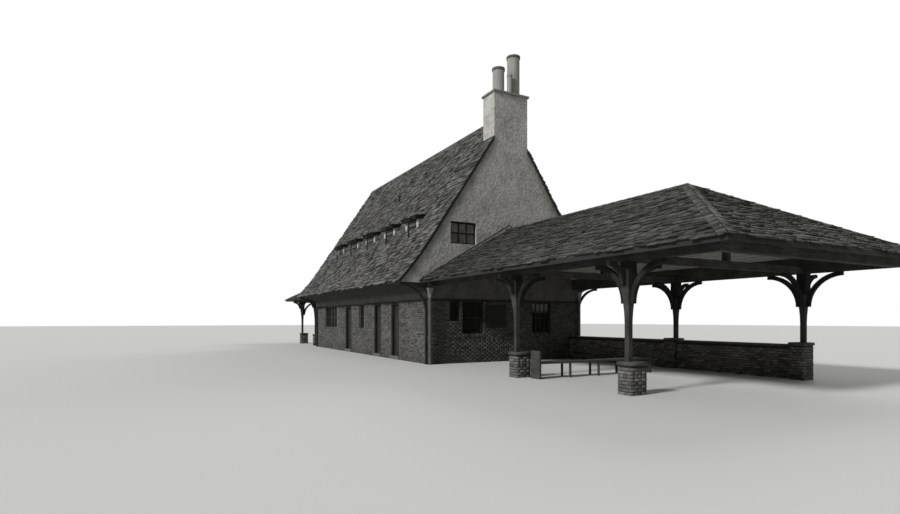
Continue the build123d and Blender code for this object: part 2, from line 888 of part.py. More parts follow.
with BuildPart() as canopy_ridge_caps:
    for side, wall_x, end_x, _ in canopies:
        with BuildSketch(Plane.YZ.offset(wall_x)):
            with BuildLine():
                cap_run = canopy_ridge_cap_width * cos(canopy_pitch)
                cap_rise = ridge_cap_depth / cos(canopy_pitch)
                cap_foot = canopy_height(canopy_half - cap_run)
                Polyline(
                    (0, canopy_ridge), (-cap_run, cap_foot), (-cap_run, cap_foot + cap_rise),
                    (0, canopy_ridge + cap_rise), close=True,
                )
            make_face()
            mirror(about=Plane.YZ)
        extrude(amount=end_x - side * canopy_half - wall_x)
save(canopy_ridge_caps.part, "canopy_ridge_caps")

# Piers: brick with a stone cap, the rear ones as high as the parapet between them
post_y = across(post_line)
pier_y = across(pier_line)
rear_pier_height = parapet_height + pier_cap_depth
post_rows = [(post_y, front_pier_height), (-post_y, rear_pier_height)]
post_places = [(x, y, pier) for _, _, _, posts in canopies for x in posts for y, pier in post_rows]

with BuildPart() as canopy_piers:
    for x, y, pier in post_places:
        middle_y = pier_y if y < 0 else -pier_y
        half_x = pier_width / 2
        half_y = pier_across / 2
        block(x - half_x, x + half_x, middle_y - half_y, middle_y + half_y, 0, pier - pier_cap_depth)
        cap_x = half_x + pier_cap_overhang
        cap_y = half_y + pier_cap_overhang
        block(x - cap_x, x + cap_x, middle_y - cap_y, middle_y + cap_y, pier - pier_cap_depth, pier)
save(canopy_piers.part, "canopy_piers")

# Posts: a narrow square shaft, sawn to one curve on all four faces as it spreads to its head
post_spread = (post_head - post_foot) / 2
post_flare_radius = hypot(post_spread, post_flare_top - post_flare_foot) ** 2 / (2 * post_spread)


def post_half(z):
    """Half a post's width at a height on its flare or over it."""
    climb = max(min(z, post_flare_top) - post_flare_foot, 0)
    return post_foot / 2 + post_flare_radius - (post_flare_radius ** 2 - climb ** 2) ** 0.5


def flared_post(pier):
    """A post on a pier of this height: its elevation is sawn one way and then across."""
    with BuildPart() as post:
        for plane, mode in ((Plane.XZ, Mode.ADD), (Plane.YZ, Mode.INTERSECT)):
            with BuildSketch(plane) as elevation:
                with BuildLine():
                    shaft = Line((post_foot / 2, pier), (post_foot / 2, post_flare_foot))
                    flare = TangentArc(shaft @ 1, (post_head / 2, post_flare_top), tangent=(0, 1))
                    head = (post_head / 2, beam_underside)
                    Polyline(flare @ 1, head, (0, beam_underside), (0, pier), shaft @ 0)
                make_face()
                mirror(about=Plane.YZ)
            extrude(elevation.sketch, amount=post_head, both=True, mode=mode)
    return post.part


with BuildPart() as canopy_posts:
    for x, y, pier in post_places:
        with Locations((x, y)):
            add(flared_post(pier))
save(canopy_posts.part, "canopy_posts")

# Eave beams along each row of posts, their tops cut to the slope and mitred at the hips
post_inset = canopy_half + post_y
beam_outer = post_inset - beam_width / 2
beam_inner = post_inset + beam_width / 2
beam_section = [
    (beam_outer, beam_underside),
    (beam_inner, beam_underside),
    (beam_inner, canopy_height(beam_inner, canopy_roof_depth)),
    (beam_outer, canopy_height(beam_outer, canopy_roof_depth)),
]
front_beams = [along_wall(beam_section, side, wall_x, end_x) for side, wall_x, end_x, _ in canopies]
end_beams = [along_end(beam_section, side, end_x) for side, _, end_x, _ in canopies]

with BuildPart() as canopy_beams:
    add(front_beams)
    add(canopy_hip_ends.part, mode=Mode.SUBTRACT)
    mirror(about=Plane.XZ)
save(canopy_beams.part, "canopy_beams")

# Ties join the two beams at each pair of posts, with a king post up to the ridge, and a last beam
# carries the hip
beam_inner_y = post_y + beam_width / 2

with BuildPart() as canopy_ties:
    for side, _, end_x, posts in canopies:
        for x in posts:
            block(
                x - tie_width / 2, x + tie_width / 2, beam_inner_y, -beam_inner_y,
                beam_underside, beam_underside + tie_depth,
            )
            block(
                x - king_post / 2, x + king_post / 2, -king_post / 2, king_post / 2,
                beam_underside + tie_depth,
                canopy_height(min(canopy_half, abs(end_x - x) + king_post / 2), canopy_roof_depth),
            )
    add(end_beams)
    for slopes in (canopy_front_slopes, canopy_rear_slopes, canopy_hip_ends):
        add(slopes.part, mode=Mode.SUBTRACT)
save(canopy_ties.part, "canopy_ties")

# Curved braces: quarter rings scribed to the post's flare and to the timber they carry, three long
# ones under the beams and the tie and a short one out to the eave


def brace_at(x, y, heading, radius):
    """A curved brace that leaves a post's flare and meets the timber over it, running this way."""
    spring = beam_underside - radius + brace_bite
    centre = (post_half(spring) + radius - brace_bite, spring)
    with BuildSketch(Plane(origin=(x, y, 0), x_dir=heading, z_dir=heading.cross(Vector(0, 0, 1)))) as ring:
        with Locations(centre):
            Circle(radius)
            Circle(radius - brace_depth, mode=Mode.SUBTRACT)
        upright(0, centre[0], spring, beam_underside, mode=Mode.INTERSECT)
    extrude(ring.sketch, amount=brace_width / 2, both=True)


with BuildPart() as canopy_braces:
    for x, y, _ in post_places:
        outward = Vector(0, y / abs(y), 0)
        brace_at(x, y, Vector(1, 0, 0), brace_radius)
        brace_at(x, y, Vector(-1, 0, 0), brace_radius)
        brace_at(x, y, -outward, brace_radius)
        brace_at(x, y, outward, outer_brace_radius)
    add(canopy_posts.part, mode=Mode.SUBTRACT)
save(canopy_braces.part, "canopy_braces")

# Low brick parapet along the rear, from the wall to the first pier and on between the piers
with BuildPart() as parapet:
    for side, wall_x, _, posts in canopies:
        stops = [wall_x, *posts]
        for i, (start, stop) in enumerate(zip(stops, stops[1:])):
            clear_start = start + side * (pier_width / 2 if i else 0)
            clear_stop = stop - side * pier_width / 2
            block(
                min(clear_start, clear_stop), max(clear_start, clear_stop),
                -pier_y - parapet_depth / 2, -pier_y + parapet_depth / 2, 0, parapet_height,
            )
save(parapet.part, "parapet")

# Raised flashings on the gables over each canopy
with BuildPart() as canopy_flashings:
    with BuildSketch(near_face):
        with BuildLine():
            Polyline(
                (-canopy_half, canopy_eave),
                (-canopy_half, canopy_eave + flashing_rise_low),
                (0, canopy_ridge + flashing_rise_high),
                (0, canopy_ridge + ridge_cap_depth / cos(canopy_pitch)),
                (-canopy_ridge_cap_width, canopy_ridge + ridge_cap_depth / cos(canopy_pitch)),
                (-canopy_ridge_cap_width, canopy_height(canopy_half - canopy_ridge_cap_width)),
                close=True,
            )
        make_face()
        mirror(about=Plane.YZ)
    extrude(amount=flashing_depth)
    add(canopy_ridge_caps.part, mode=Mode.SUBTRACT)
    mirror(about=Plane.YZ)
save(canopy_flashings.part, "canopy_flashings")

# Bench across the near canopy, on plank ends and paired legs
bench_x = place(-bench_at)
bench_start = across(bench_first)
bench_stop = bench_start + bench_length
seat_foot = bench_seat_height - bench_plank

with BuildPart() as bench:
    seat_half = bench_seat_depth / 2
    block(bench_x - seat_half, bench_x + seat_half, bench_start, bench_stop, seat_foot, bench_seat_height)
    for y in (bench_start, bench_stop - bench_end_depth):
        block(bench_x - seat_half, bench_x + seat_half, y, y + bench_end_depth, 0, bench_end_height)
    leg_step = (bench_length - bench_end_depth) / (bench_leg_pairs + 1)
    for i in range(1, bench_leg_pairs + 1):
        for x in (bench_x - seat_half, bench_x + seat_half - bench_leg):
            y = bench_start + bench_end_depth / 2 + i * leg_step
            block(x, x + bench_leg, y - bench_leg / 2, y + bench_leg / 2, 0, seat_foot)
save(bench.part, "bench")

# Downspouts, each with a rain head and clips to the end wall
pipe_x = near_x + belt_proud + pipe_gap + pipe_radius
pipe_y = across(pipe_from_corner)
rain_head_foot = belt_top + rain_head_above_belt
rain_head_top = rain_head_foot + rain_head_height

with BuildPart() as downspouts:
    with Locations((pipe_x, pipe_y, 0)):
        Cylinder(pipe_radius, rain_head_top, align=on_foot)
    with BuildSketch(Plane.XY.offset(rain_head_top)):
        with Locations((pipe_x, pipe_y)):
            Rectangle(rain_head_depth, rain_head_width)
    with BuildSketch(Plane.XY.offset(rain_head_foot)):
        with Locations((pipe_x, pipe_y)):
            Rectangle(pipe_radius, pipe_radius)
    loft()
    for i in range(pipe_clip_count):
        z = pipe_clip_spacing * (i + 0.5)
        block(near_x, pipe_x, pipe_y, pipe_y + pipe_radius / 2, z, z + pipe_clip_height)
    mirror(about=Plane.XZ)
    mirror(about=Plane.YZ)
save(downspouts.part, "downspouts")

# Blank notice board on the wall between the near end's windows
with BuildPart() as notice_board:
    block(
        near_x, near_x + board_depth, across(board_at), across(board_at + board_width),
        board_foot, board_foot + board_height,
    )
save(notice_board.part, "notice_board")
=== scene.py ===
"""The looks of a cottage-style railway station: brick, slate, stucco, timber and glass on its solid frame."""

from math import atan, atan2, cos, floor, hypot, pi, radians, sin

import bpy
import numpy as np
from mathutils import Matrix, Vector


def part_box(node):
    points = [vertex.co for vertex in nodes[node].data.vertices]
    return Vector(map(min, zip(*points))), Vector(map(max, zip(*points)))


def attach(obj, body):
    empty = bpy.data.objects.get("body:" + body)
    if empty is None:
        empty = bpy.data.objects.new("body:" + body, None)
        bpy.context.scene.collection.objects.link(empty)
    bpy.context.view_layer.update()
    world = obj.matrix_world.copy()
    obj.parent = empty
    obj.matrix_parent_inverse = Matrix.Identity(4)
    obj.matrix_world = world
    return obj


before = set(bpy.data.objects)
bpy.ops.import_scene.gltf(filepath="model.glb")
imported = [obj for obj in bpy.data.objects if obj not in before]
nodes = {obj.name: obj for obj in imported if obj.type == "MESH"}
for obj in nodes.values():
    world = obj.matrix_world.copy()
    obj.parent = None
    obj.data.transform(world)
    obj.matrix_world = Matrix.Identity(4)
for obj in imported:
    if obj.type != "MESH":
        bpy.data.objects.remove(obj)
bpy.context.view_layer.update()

# Camera
# It stands off the near canopy at eye height, level, and looks along the front. The lens shift moves
# the horizon down the picture as a raised front does.
camera_data = bpy.data.cameras.new("camera")
camera_data.lens = 22.0
camera_data.shift_y = 0.07
camera = bpy.data.objects.new("camera", camera_data)
camera.location = (25.39, -12.18, 1.6)
camera.rotation_euler = (pi / 2, 0, atan2(0.8806, 0.4739))
bpy.context.scene.collection.objects.link(camera)
bpy.context.scene.camera = camera


# Brickwork of the ground storey
# Common bricks in lime mortar, laid as stretchers with a course of headers after every five. They stand a
# little proud of their raked joints, and each was fired to its own shade.
wall_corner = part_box("front_wall")
end_x = wall_corner[1].x
street_y = wall_corner[0].y
wall_head = wall_corner[1].z
building_length = 2 * end_x
building_width = -2 * street_y
brick_courses = 31
course_height = wall_head / brick_courses
stretcher = 0.213
joint_width = 0.011
brick_proud = 0.008
brick_sunk = 0.004
brick_slant = 0.002
least_brick = 0.03
sill_brick = 0.076
sill_proud = 0.022
header_course = 6
street_openings = [(2.66, 0.85, 0), (4.65, 0.86, 0), (8.70, 0.98, 0), (11.20, 2.30, 1.2), (6.85, 0.72, 1.2)]
end_openings = [(0.89, 0.41, 1.56), (1.43, 0.905, 1.08), (4.625, 0.91, 1.08)]
up = np.array([0.0, 0.0, 1.0])
rng = np.random.default_rng(11)


def warm(grey):
    """A grey with the photograph's faint warmth, as a shader's colour."""
    return (grey, grey * 0.99, grey * 0.92, 1)


def plain(share):
    """A neutral share by which to multiply a colour."""
    return (share, share, share, 1)


def shade(tree, kind, inputs=None, **settings):
    """A shader node with its settings, each input set to a value or joined to another node's socket."""
    made = tree.nodes.new(kind)
    for name, value in settings.items():
        setattr(made, name, value)
    for name, value in (inputs or {}).items():
        if isinstance(value, bpy.types.NodeSocket):
            tree.links.new(value, made.inputs[name])
        else:
            made.inputs[name].default_value = value
    return made


def start_finish(name, roughness, specular=0.2):
    """An empty finish: its node tree, its Principled shader and the piece's own coordinates."""
    finish = bpy.data.materials.new(name)
    finish.use_nodes = True
    tree = finish.node_tree
    shader = tree.nodes["Principled BSDF"]
    shader.inputs["Roughness"].default_value = roughness
    shader.inputs["Specular IOR Level"].default_value = specular
    place = tree.nodes.new("ShaderNodeTexCoord").outputs["Object"]
    return finish, tree, shader, place


def cloud(tree, place, scale, detail=4, stretch=(1, 1, 1)):
    """Noise over the piece, its cells drawn out along an axis where that axis is scaled down."""
    spread = shade(tree, "ShaderNodeMapping", {"Vector": place, "Scale": stretch})
    grain = {"Vector": spread.outputs[0], "Scale": scale, "Detail": detail}
    return shade(tree, "ShaderNodeTexNoise", grain).outputs["Fac"]


def ramp(tree, fac, low, high, dark, light):
    """A colour that goes from dark at the low value to light at the high one."""
    made = shade(tree, "ShaderNodeValToRGB", {"Fac": fac})
    made.color_ramp.elements[0].position = low
    made.color_ramp.elements[1].position = high
    made.color_ramp.elements[0].color = dark
    made.color_ramp.elements[1].color = light
    return made.outputs["Color"]


def times(tree, a, b, share=1.0):
    """One colour multiplied by another, by this share."""
    made = shade(tree, "ShaderNodeMix", {0: share, 6: a, 7: b}, data_type="RGBA", blend_type="MULTIPLY")
    return made.outputs[2]


def between(tree, value, low, high):
    """How far a value has come from low to high, from 0 to 1."""
    made = shade(tree, "ShaderNodeMapRange", {"Value": value, "From Min": low, "From Max": high})
    return made.outputs["Result"]


def reach(tree, vector, axis):
    """How far a vector reaches along one axis."""
    return shade(tree, "ShaderNodeSeparateXYZ", {"Vector": vector}).outputs[axis]


def reckon(tree, operation, *terms):
    """The result of one operation on these terms."""
    return shade(tree, "ShaderNodeMath", dict(enumerate(terms)), operation=operation).outputs[0]


def height_over(tree, place, apex, fall):
    """How far a place is above a symmetrical roof line that falls from its apex to both sides along Y."""
    aside = reckon(tree, "ABSOLUTE", reach(tree, place, "Y"))
    level = reckon(tree, "MULTIPLY_ADD", aside, fall, reach(tree, place, "Z"))
    return reckon(tree, "SUBTRACT", level, apex)


def bumps(tree, shader, height, depth):
    """Relief of this depth, in metres, from a height between 0 and 1."""
    made = shade(tree, "ShaderNodeBump", {"Height": height, "Distance": depth})
    tree.links.new(made.outputs[0], shader.inputs["Normal"])


def brick_finish(name, dark, light):
    """Fired brick: each brick's own tone, clouds of soot and wash, damp at the foot, and a sanded face."""
    finish, tree, shader, place = start_finish(name, 0.92)
    tone = shade(tree, "ShaderNodeAttribute", attribute_name="tone").outputs["Fac"]
    body = ramp(tree, tone, 0.0, 1.0, warm(dark), warm(light))
    clouded = times(tree, body, ramp(tree, cloud(tree, place, 1.3), 0.3, 0.75, plain(0.7), plain(1.15)))
    speckled = times(tree, clouded, ramp(tree, cloud(tree, place, 70), 0.3, 0.7, plain(0.7), plain(1.2)))
    ragged = reckon(tree, "MULTIPLY_ADD", cloud(tree, place, 2.2, 6), 1.4, reach(tree, place, "Z"))
    damp = ramp(tree, between(tree, ragged, 0.75, 1.25), 0.0, 1.0, plain(0.72), plain(1))
    tree.links.new(times(tree, speckled, damp), shader.inputs["Base Color"])
    bumps(tree, shader, cloud(tree, place, 160, 6), 0.004)
    return finish


def mortar_finish(name, dark, light, reveal_shade_share=1.0):
    """Lime mortar between the bricks and on the walls' inner faces.

    Faces that look along Y, such as the sides of the end walls' windows, are darkened to a share as painted
    shade."""
    finish, tree, shader, place = start_finish(name, 0.95)
    body = ramp(tree, cloud(tree, place, 9), 0.3, 0.7, warm(dark), warm(light))
    facing = tree.nodes.new("ShaderNodeNewGeometry").outputs["Normal"]
    sideways = reckon(tree, "ABSOLUTE", reach(tree, facing, "Y"))
    # Painted shade: faces that look along Y, the window reveals, are darkened to a share.
    reveal_shade = ramp(tree, between(tree, sideways, 0.6, 0.8), 0.0, 1.0, plain(1), plain(reveal_shade_share))
    tree.links.new(times(tree, body, reveal_shade), shader.inputs["Base Color"])
    bumps(tree, shader, cloud(tree, place, 120, 6), 0.003)
    return finish


def dress(node, finish):
    """Gives a node of the frame its finish."""
    nodes[node].data.materials.clear()
    nodes[node].data.materials.append(finish)


def make_piece(name, points, quads, finish, slot, tone=None, body="root"):
    """A mesh from whole arrays of points and four-sided faces, finished and fixed to its body."""
    mesh = bpy.data.meshes.new(name)
    mesh.vertices.add(len(points))
    mesh.vertices.foreach_set("co", points.astype(np.float32).ravel())
    mesh.loops.add(quads.size)
    mesh.loops.foreach_set("vertex_index", quads.astype(np.int32).ravel())
    mesh.polygons.add(len(quads))
    mesh.polygons.foreach_set("loop_start", np.arange(0, quads.size, 4, dtype=np.int32))
    mesh.update(calc_edges=True)
    if tone is not None:
        layer = mesh.attributes.new("tone", "FLOAT", "POINT")
        layer.data.foreach_set("value", tone.astype(np.float32))
    mesh.materials.append(finish)
    piece = bpy.data.objects.new(name, mesh)
    bpy.context.scene.collection.objects.link(piece)
    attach(piece, body)
    return piece


def joined_blocks(backs, fronts):
    """Points and faces of many six-sided blocks.

    Each block is its four back corners and its four front corners, both counterclockwise seen from the front,
    closed by a ring of four sides."""
    points = np.concatenate([backs, fronts], axis=1).reshape(-1, 3)
    block = np.array([[3, 2, 1, 0], [4, 5, 6, 7], [0, 1, 5, 4], [1, 2, 6, 5], [2, 3, 7, 6], [3, 0, 4, 7]])
    quads = (8 * np.arange(len(backs))[:, None, None] + block).reshape(-1, 4)
    return points, quads


def free_stretches(start, stop, cuts):
    """What is left between start and stop once the cuts are taken out."""
    free = []
    for low, high in sorted(cuts):
        if low > start:
            free.append((start, low))
        start = max(start, high)
    if stop > start:
        free.append((start, stop))
    return free


def lay_bricks(start, stop, courses, openings=(), odd=0):
    """The bricks of a wall face, each as left side, right side, foot and head.

    Bricks follow one another at the module of their course, every second course starts half a module on,
    and what an opening or the wall's end cuts keeps its cut length. Under a sill stands a row of bricks on
    edge."""
    laid = []
    cuts = []
    for low, high, sill in openings:
        row_foot = (floor(sill / course_height) - 1) * course_height
        cuts.append((low, high, row_foot, sill))
    for course in range(courses):
        foot = course * course_height
        module = stretcher / 2 if course % header_course == header_course - 1 else stretcher
        shift = module / 2 * ((course + odd) % 2)
        joints = np.arange(start - module + shift, stop + module, module)
        open_here = [(low, high) for low, high, row_foot, _ in cuts if row_foot < foot + course_height / 2]
        for low, high in free_stretches(start, stop, open_here):
            left = np.clip(joints, low, high)
            right = np.clip(joints + module - joint_width, low, high)
            kept = right - left > least_brick
            level = np.full(kept.sum(), foot)
            head = level + course_height - joint_width
            laid.append(np.column_stack([left[kept], right[kept], level, head]))
    for low, high, row_foot, sill in cuts:
        if sill:
            left = np.arange(low, high - least_brick, sill_brick)
            right = np.minimum(left + sill_brick - joint_width, high)
            level = np.full(len(left), row_foot)
            laid.append(np.column_stack([left, right, level, np.full(len(left), sill)]))
    return np.concatenate(laid)


def brick_blocks(bricks, origin, along, out):
    """Blocks for bricks on a face: backs just inside it, fronts standing out by each brick's own amount."""
    left, right, foot, head = bricks.T
    on_edge = head - foot > course_height - joint_width + 0.001
    sides = np.stack([left, right, right, left], 1)
    levels = np.stack([foot, foot, head, head], 1)
    inward = np.array([1, -1, -1, 1]) * brick_slant
    upward = np.array([1, 1, -1, -1]) * brick_slant
    proud = np.where(on_edge, sill_proud, brick_proud + rng.uniform(-0.003, 0.003, len(bricks)))
    backs = origin + sides[..., None] * along + levels[..., None] * up - brick_sunk * out
    fronts = origin + (sides + inward)[..., None] * along + (levels + upward)[..., None] * up
    return backs, fronts + proud[:, None, None] * out


def brick_piece(name, faces, finish):
    """One piece of all the bricks on these faces, each brick with its own tone."""
    backs, fronts = zip(*[brick_blocks(*face) for face in faces])
    points, quads = joined_blocks(np.concatenate(backs), np.concatenate(fronts))
    tone = np.clip(rng.normal(0.45, 0.24, len(points) // 8), 0, 1).repeat(8)
    return make_piece(name, points, quads, finish, "brick", tone)


axis_x = np.array([1.0, 0.0, 0.0])
axis_y = np.array([0.0, 1.0, 0.0])
bricks = brick_finish("brick_faces", 0.04, 0.15)
# The end walls' bricks are a darker copy of the same brick, as painted shade for the canopies over them.
shaded_end_bricks = brick_finish("shaded_end_bricks", 0.032, 0.11)
mortar = mortar_finish("lime_mortar", 0.1, 0.17)
# The end walls' mortar is a darker copy as painted shade, with more painted shade in the reveals; the canopy
# ridges share it.
shaded_mortar = mortar_finish("shaded_mortar", 0.06, 0.1, 0.25)
from_far = [(building_length - at - span, building_length - at, sill) for at, span, sill in street_openings]
from_near = [(at, at + span, sill) for at, span, sill in street_openings]
end_left = [(at, at + span, sill) for at, span, sill in end_openings]
end_right = [(building_width - at - span, building_width - at, sill) for at, span, sill in end_openings]

street_bricks = lay_bricks(-brick_proud, building_length + brick_proud, brick_courses, from_far)
rear_bricks = lay_bricks(-brick_proud, building_length + brick_proud, brick_courses, from_near)
near_bricks = lay_bricks(0, building_width, brick_courses, end_left, odd=1)
far_bricks = lay_bricks(0, building_width, brick_courses, end_right, odd=1)
brick_piece("street_bricks", [(street_bricks, np.array([-end_x, street_y, 0]), axis_x, -axis_y)], bricks)
brick_piece("rear_bricks", [(rear_bricks, np.array([end_x, -street_y, 0]), -axis_x, axis_y)], bricks)
brick_piece(
    "end_bricks",
    [
        (near_bricks, np.array([end_x, street_y, 0]), axis_y, axis_x),
        (far_bricks, np.array([-end_x, -street_y, 0]), -axis_y, -axis_x),
    ],
    shaded_end_bricks,
)
for wall in ("front_wall", "rear_wall"):
    dress(wall, mortar)
dress("end_walls", shaded_mortar)


# Canopy piers and parapet
# Short oblong piers of the same brick under the posts, and a low wall between the rear ones, both capped
# with dark weathered stone that sheds water.
pier_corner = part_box("canopy_piers")
parapet_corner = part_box("parapet")
pier_along = 0.36
pier_across = 0.45
pier_cap = 0.06
cap_proud = 0.03
cap_bed = 0.01
cap_over = 0.012
cap_bevel = 0.02
front_pier_head = 0.70
rear_pier_head = pier_corner[1].z
pier_y = 3.14
near_post_runs = (5.13, 9.245)
far_post_runs = (1.40, 4.90)
near_posts = tuple(end_x + run for run in near_post_runs)
far_posts = tuple(-end_x - run for run in far_post_runs)
parapet_depth = 0.23
coping_proud = 0.03
coping_depth = 0.055
coping_bevel = 0.015


def stone_finish(name, dark, light):
    """Dressed stone, rubbed smooth, with rain stains."""
    finish, tree, shader, place = start_finish(name, 0.85)
    body = ramp(tree, cloud(tree, place, 4), 0.3, 0.7, warm(dark), warm(light))
    marked = times(tree, body, ramp(tree, cloud(tree, place, 22, 5), 0.35, 0.65, plain(0.8), plain(1.08)))
    tree.links.new(marked, shader.inputs["Base Color"])
    bumps(tree, shader, cloud(tree, place, 140, 5), 0.002)
    return finish


def capped_block(low, high, bevel):
    """A block with its upper edges taken off at a slope: three rings of corners and a flat top."""
    x0, y0, z0 = low
    x1, y1, z1 = high
    ring = np.array([[x0, y0], [x1, y0], [x1, y1], [x0, y1]])
    middle = ring.mean(0)
    small = ring + np.sign(middle - ring) * bevel
    levels = [(ring, z0), (ring, z1 - bevel), (small, z1)]
    points = np.concatenate([np.column_stack([outline, np.full(4, level)]) for outline, level in levels])
    sides = [
        [4 * k + i, 4 * k + (i + 1) % 4, 4 * k + 4 + (i + 1) % 4, 4 * k + 4 + i]
        for k in (0, 1) for i in range(4)
    ]
    return points, np.array([[3, 2, 1, 0], *sides, [8, 9, 10, 11]])


def gather(shapes):
    """Several shapes' points and faces as one."""
    counts = np.cumsum([0] + [len(points) for points, _ in shapes[:-1]])
    points = np.concatenate([points for points, _ in shapes])
    return points, np.concatenate([quads + start for start, (_, quads) in zip(counts, shapes)])


stone = stone_finish("dressed_stone", 0.16, 0.24)
dark_stone = stone_finish("weathered_stone", 0.05, 0.085)
pier_bricks = brick_finish("pier_brick_faces", 0.07, 0.22)
dark_mortar = mortar_finish("dark_mortar", 0.018, 0.032)
pier_faces = []
pier_caps = []
for x in near_posts + far_posts:
    for y, head in ((-pier_y, front_pier_head), (pier_y, rear_pier_head)):
        half_x = pier_along / 2
        half_y = pier_across / 2
        courses = floor((head - pier_cap) / course_height)
        around = (
            (x - half_x, y - half_y, axis_x, -axis_y), (x + half_x, y - half_y, axis_y, axis_x),
            (x + half_x, y + half_y, -axis_x, axis_y), (x - half_x, y + half_y, -axis_y, -axis_x),
        )
        for i, (corner_x, corner_y, along, out) in enumerate(around):
            overlap = brick_proud * ((i + 1) % 2)
            laid = lay_bricks(-overlap, (pier_across if i % 2 else pier_along) + overlap, courses, odd=i % 2)
            pier_faces.append((laid, np.array([corner_x, corner_y, 0]), along, out))
        cap_low = (x - half_x - cap_proud, y - half_y - cap_proud, head - pier_cap - cap_bed)
        cap_high = (x + half_x + cap_proud, y + half_y + cap_proud, head + cap_over)
        pier_caps.append(capped_block(cap_low, cap_high, cap_bevel))

parapet_runs = [(end_x, near_posts[0], 0, 1), (near_posts[0], near_posts[1], 1, 1)]
parapet_runs += [(far_posts[0], -end_x, 1, 0), (far_posts[1], far_posts[0], 1, 1)]
for start, stop, pier_start, pier_stop in parapet_runs:
    low = start + pier_start * pier_along / 2
    high = stop - pier_stop * pier_along / 2
    courses = floor((parapet_corner[1].z - coping_depth) / course_height)
    laid = lay_bricks(0, high - low, courses)
    pier_faces.append((laid, np.array([low, pier_y - parapet_depth / 2, 0]), axis_x, -axis_y))
    pier_faces.append((laid, np.array([high, pier_y + parapet_depth / 2, 0]), -axis_x, axis_y))
    side = parapet_depth / 2 + coping_proud
    top = parapet_corner[1].z + cap_over
    coping_low = (low, pier_y - side, top - coping_depth)
    pier_caps.append(capped_block(coping_low, (high, pier_y + side, top), coping_bevel))
brick_piece("pier_bricks", pier_faces, pier_bricks)
make_piece("pier_caps", *gather(pier_caps), dark_stone, "stone")
dress("canopy_piers", dark_mortar)
dress("parapet", dark_mortar)


# Main roof
# Thick riven slates nailed in courses over boards, their tails ragged, steep at the ridge and swept out in
# one curve over the eave. The boards show only at the verges and eave.
ridge_z = 9.70
roof_slope = 1.5
flare_run = 3.40
flare_z = ridge_z - roof_slope * flare_run
eave_run = 4.65
eave_z = 3.00
pitch = atan(roof_slope)
flare_chord = hypot(eave_run - flare_run, flare_z - eave_z)
flare_turn = 2 * (pitch - atan2(flare_z - eave_z, eave_run - flare_run))
flare_radius = flare_chord / (2 * sin(flare_turn / 2))
straight = flare_run / cos(pitch)
slope_length = straight + flare_radius * flare_turn
roof_end = end_x + 0.03
slate_show = 0.175
slate_lap = 1.4
slate_narrow = 0.13
slate_wide = 0.34
slate_ragged = 0.045
slate_thick = 0.032
slate_gap = 0.003
least_slate = 0.02
tail_lift = 0.006
head_lift = -0.004
slate_wander = 0.02
eave_lip = 0.03
verge_lip = 0.02
dormer_count = 5
dormer_first = 2.70
dormer_step = 2.43
dormer_xs = [end_x - dormer_first - dormer_step * i for i in range(dormer_count)]
dormer_half = 0.65
dormer_head_run = 2.65
dormer_foot_run = 2.93
dormer_head = dormer_head_run / cos(pitch)
dormer_foot = dormer_foot_run / cos(pitch)
dormer_lap = 0.04
streak_offset = 0.46
streak_half = 0.13
streak_top_z = 4.95
streak_foot_z = 4.05
streak_from = (ridge_z - streak_top_z) / sin(pitch)
streak_to = (ridge_z - streak_foot_z) / sin(pitch)
damp_start = 3.0
damp_reach = 7.0
chimney_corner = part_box("chimney_stack")


def main_profile(down):
    """How far out, how high and how steep the roof is at a distance down from the ridge.

    It is a straight line down to the flare, and from there an arc that turns evenly to the eave."""
    turned = np.maximum(down - straight, 0) / flare_radius
    angle = pitch - turned
    straight_down = np.minimum(down, straight)
    run = straight_down * cos(pitch) + flare_radius * (sin(pitch) - np.sin(angle))
    height = ridge_z - straight_down * sin(pitch) - flare_radius * (np.cos(angle) - cos(pitch))
    return run, height, angle


def lay_slates(courses, start, stop):
    """Slates course by course, each as left side, right side, head and tail.

    A course's widths are drawn at random and scaled to fill it. Its tails hang at even steps down the slope,
    each a little off its line, and the line itself wanders up and down by the sum of two slow waves."""
    laid = []
    for course in range(courses):
        count = round((stop - start) / (slate_narrow + slate_wide) * 2)
        widths = rng.uniform(slate_narrow, slate_wide, count)
        edges = start + np.concatenate([[0], np.cumsum(widths)]) * (stop - start) / widths.sum()
        phase = rng.uniform(0, 2 * pi, 2)
        slow = slate_wander * np.sin(edges[:-1] * 1.1 + phase[0])
        wander = slow + slate_wander * np.sin(edges[:-1] * 2.9 + phase[1])
        tails = (course + 1) * slate_show + wander + rng.uniform(-slate_ragged, slate_ragged, count)
        heads = np.full(count, (course + 1 - slate_lap) * slate_show)
        laid.append(np.column_stack([edges[:-1], edges[1:], heads, tails]))
    return np.concatenate(laid)


def slate_blocks(slates, profile, origin, along, outward, left_edge, right_edge):
    """Blocks for slates on a slope, each lifted clear of the course under its tail.

    A place is measured along the slope and down it. The profile gives its run, height and steepness, and both
    edges are straight in plan: a start, and a share of the run."""
    left, right, head, tail = slates.T
    down = np.maximum(np.stack([tail, tail, head, head], 1), 0)
    side = np.stack([left + slate_gap, right - slate_gap, right - slate_gap, left + slate_gap], 1)
    run, height, angle = profile(down)
    side = np.clip(side, left_edge[0] + left_edge[1] * run, right_edge[0] + right_edge[1] * run)
    kept = side[:, 1] - side[:, 0] > least_slate
    thick = slate_thick * rng.uniform(0.5, 1.8, len(slates))
    lift_low = np.tile([tail_lift, tail_lift, head_lift, head_lift], (len(slates), 1))
    lift_top = lift_low + np.stack([thick, thick, 0.3 * thick, 0.3 * thick], 1)

    def lifted(lift):
        out = (run + lift * np.sin(angle))[..., None] * outward
        rise = (height + lift * np.cos(angle))[..., None] * up
        return origin + side[..., None] * along + out + rise

    return lifted(lift_low)[kept], lifted(lift_top)[kept]


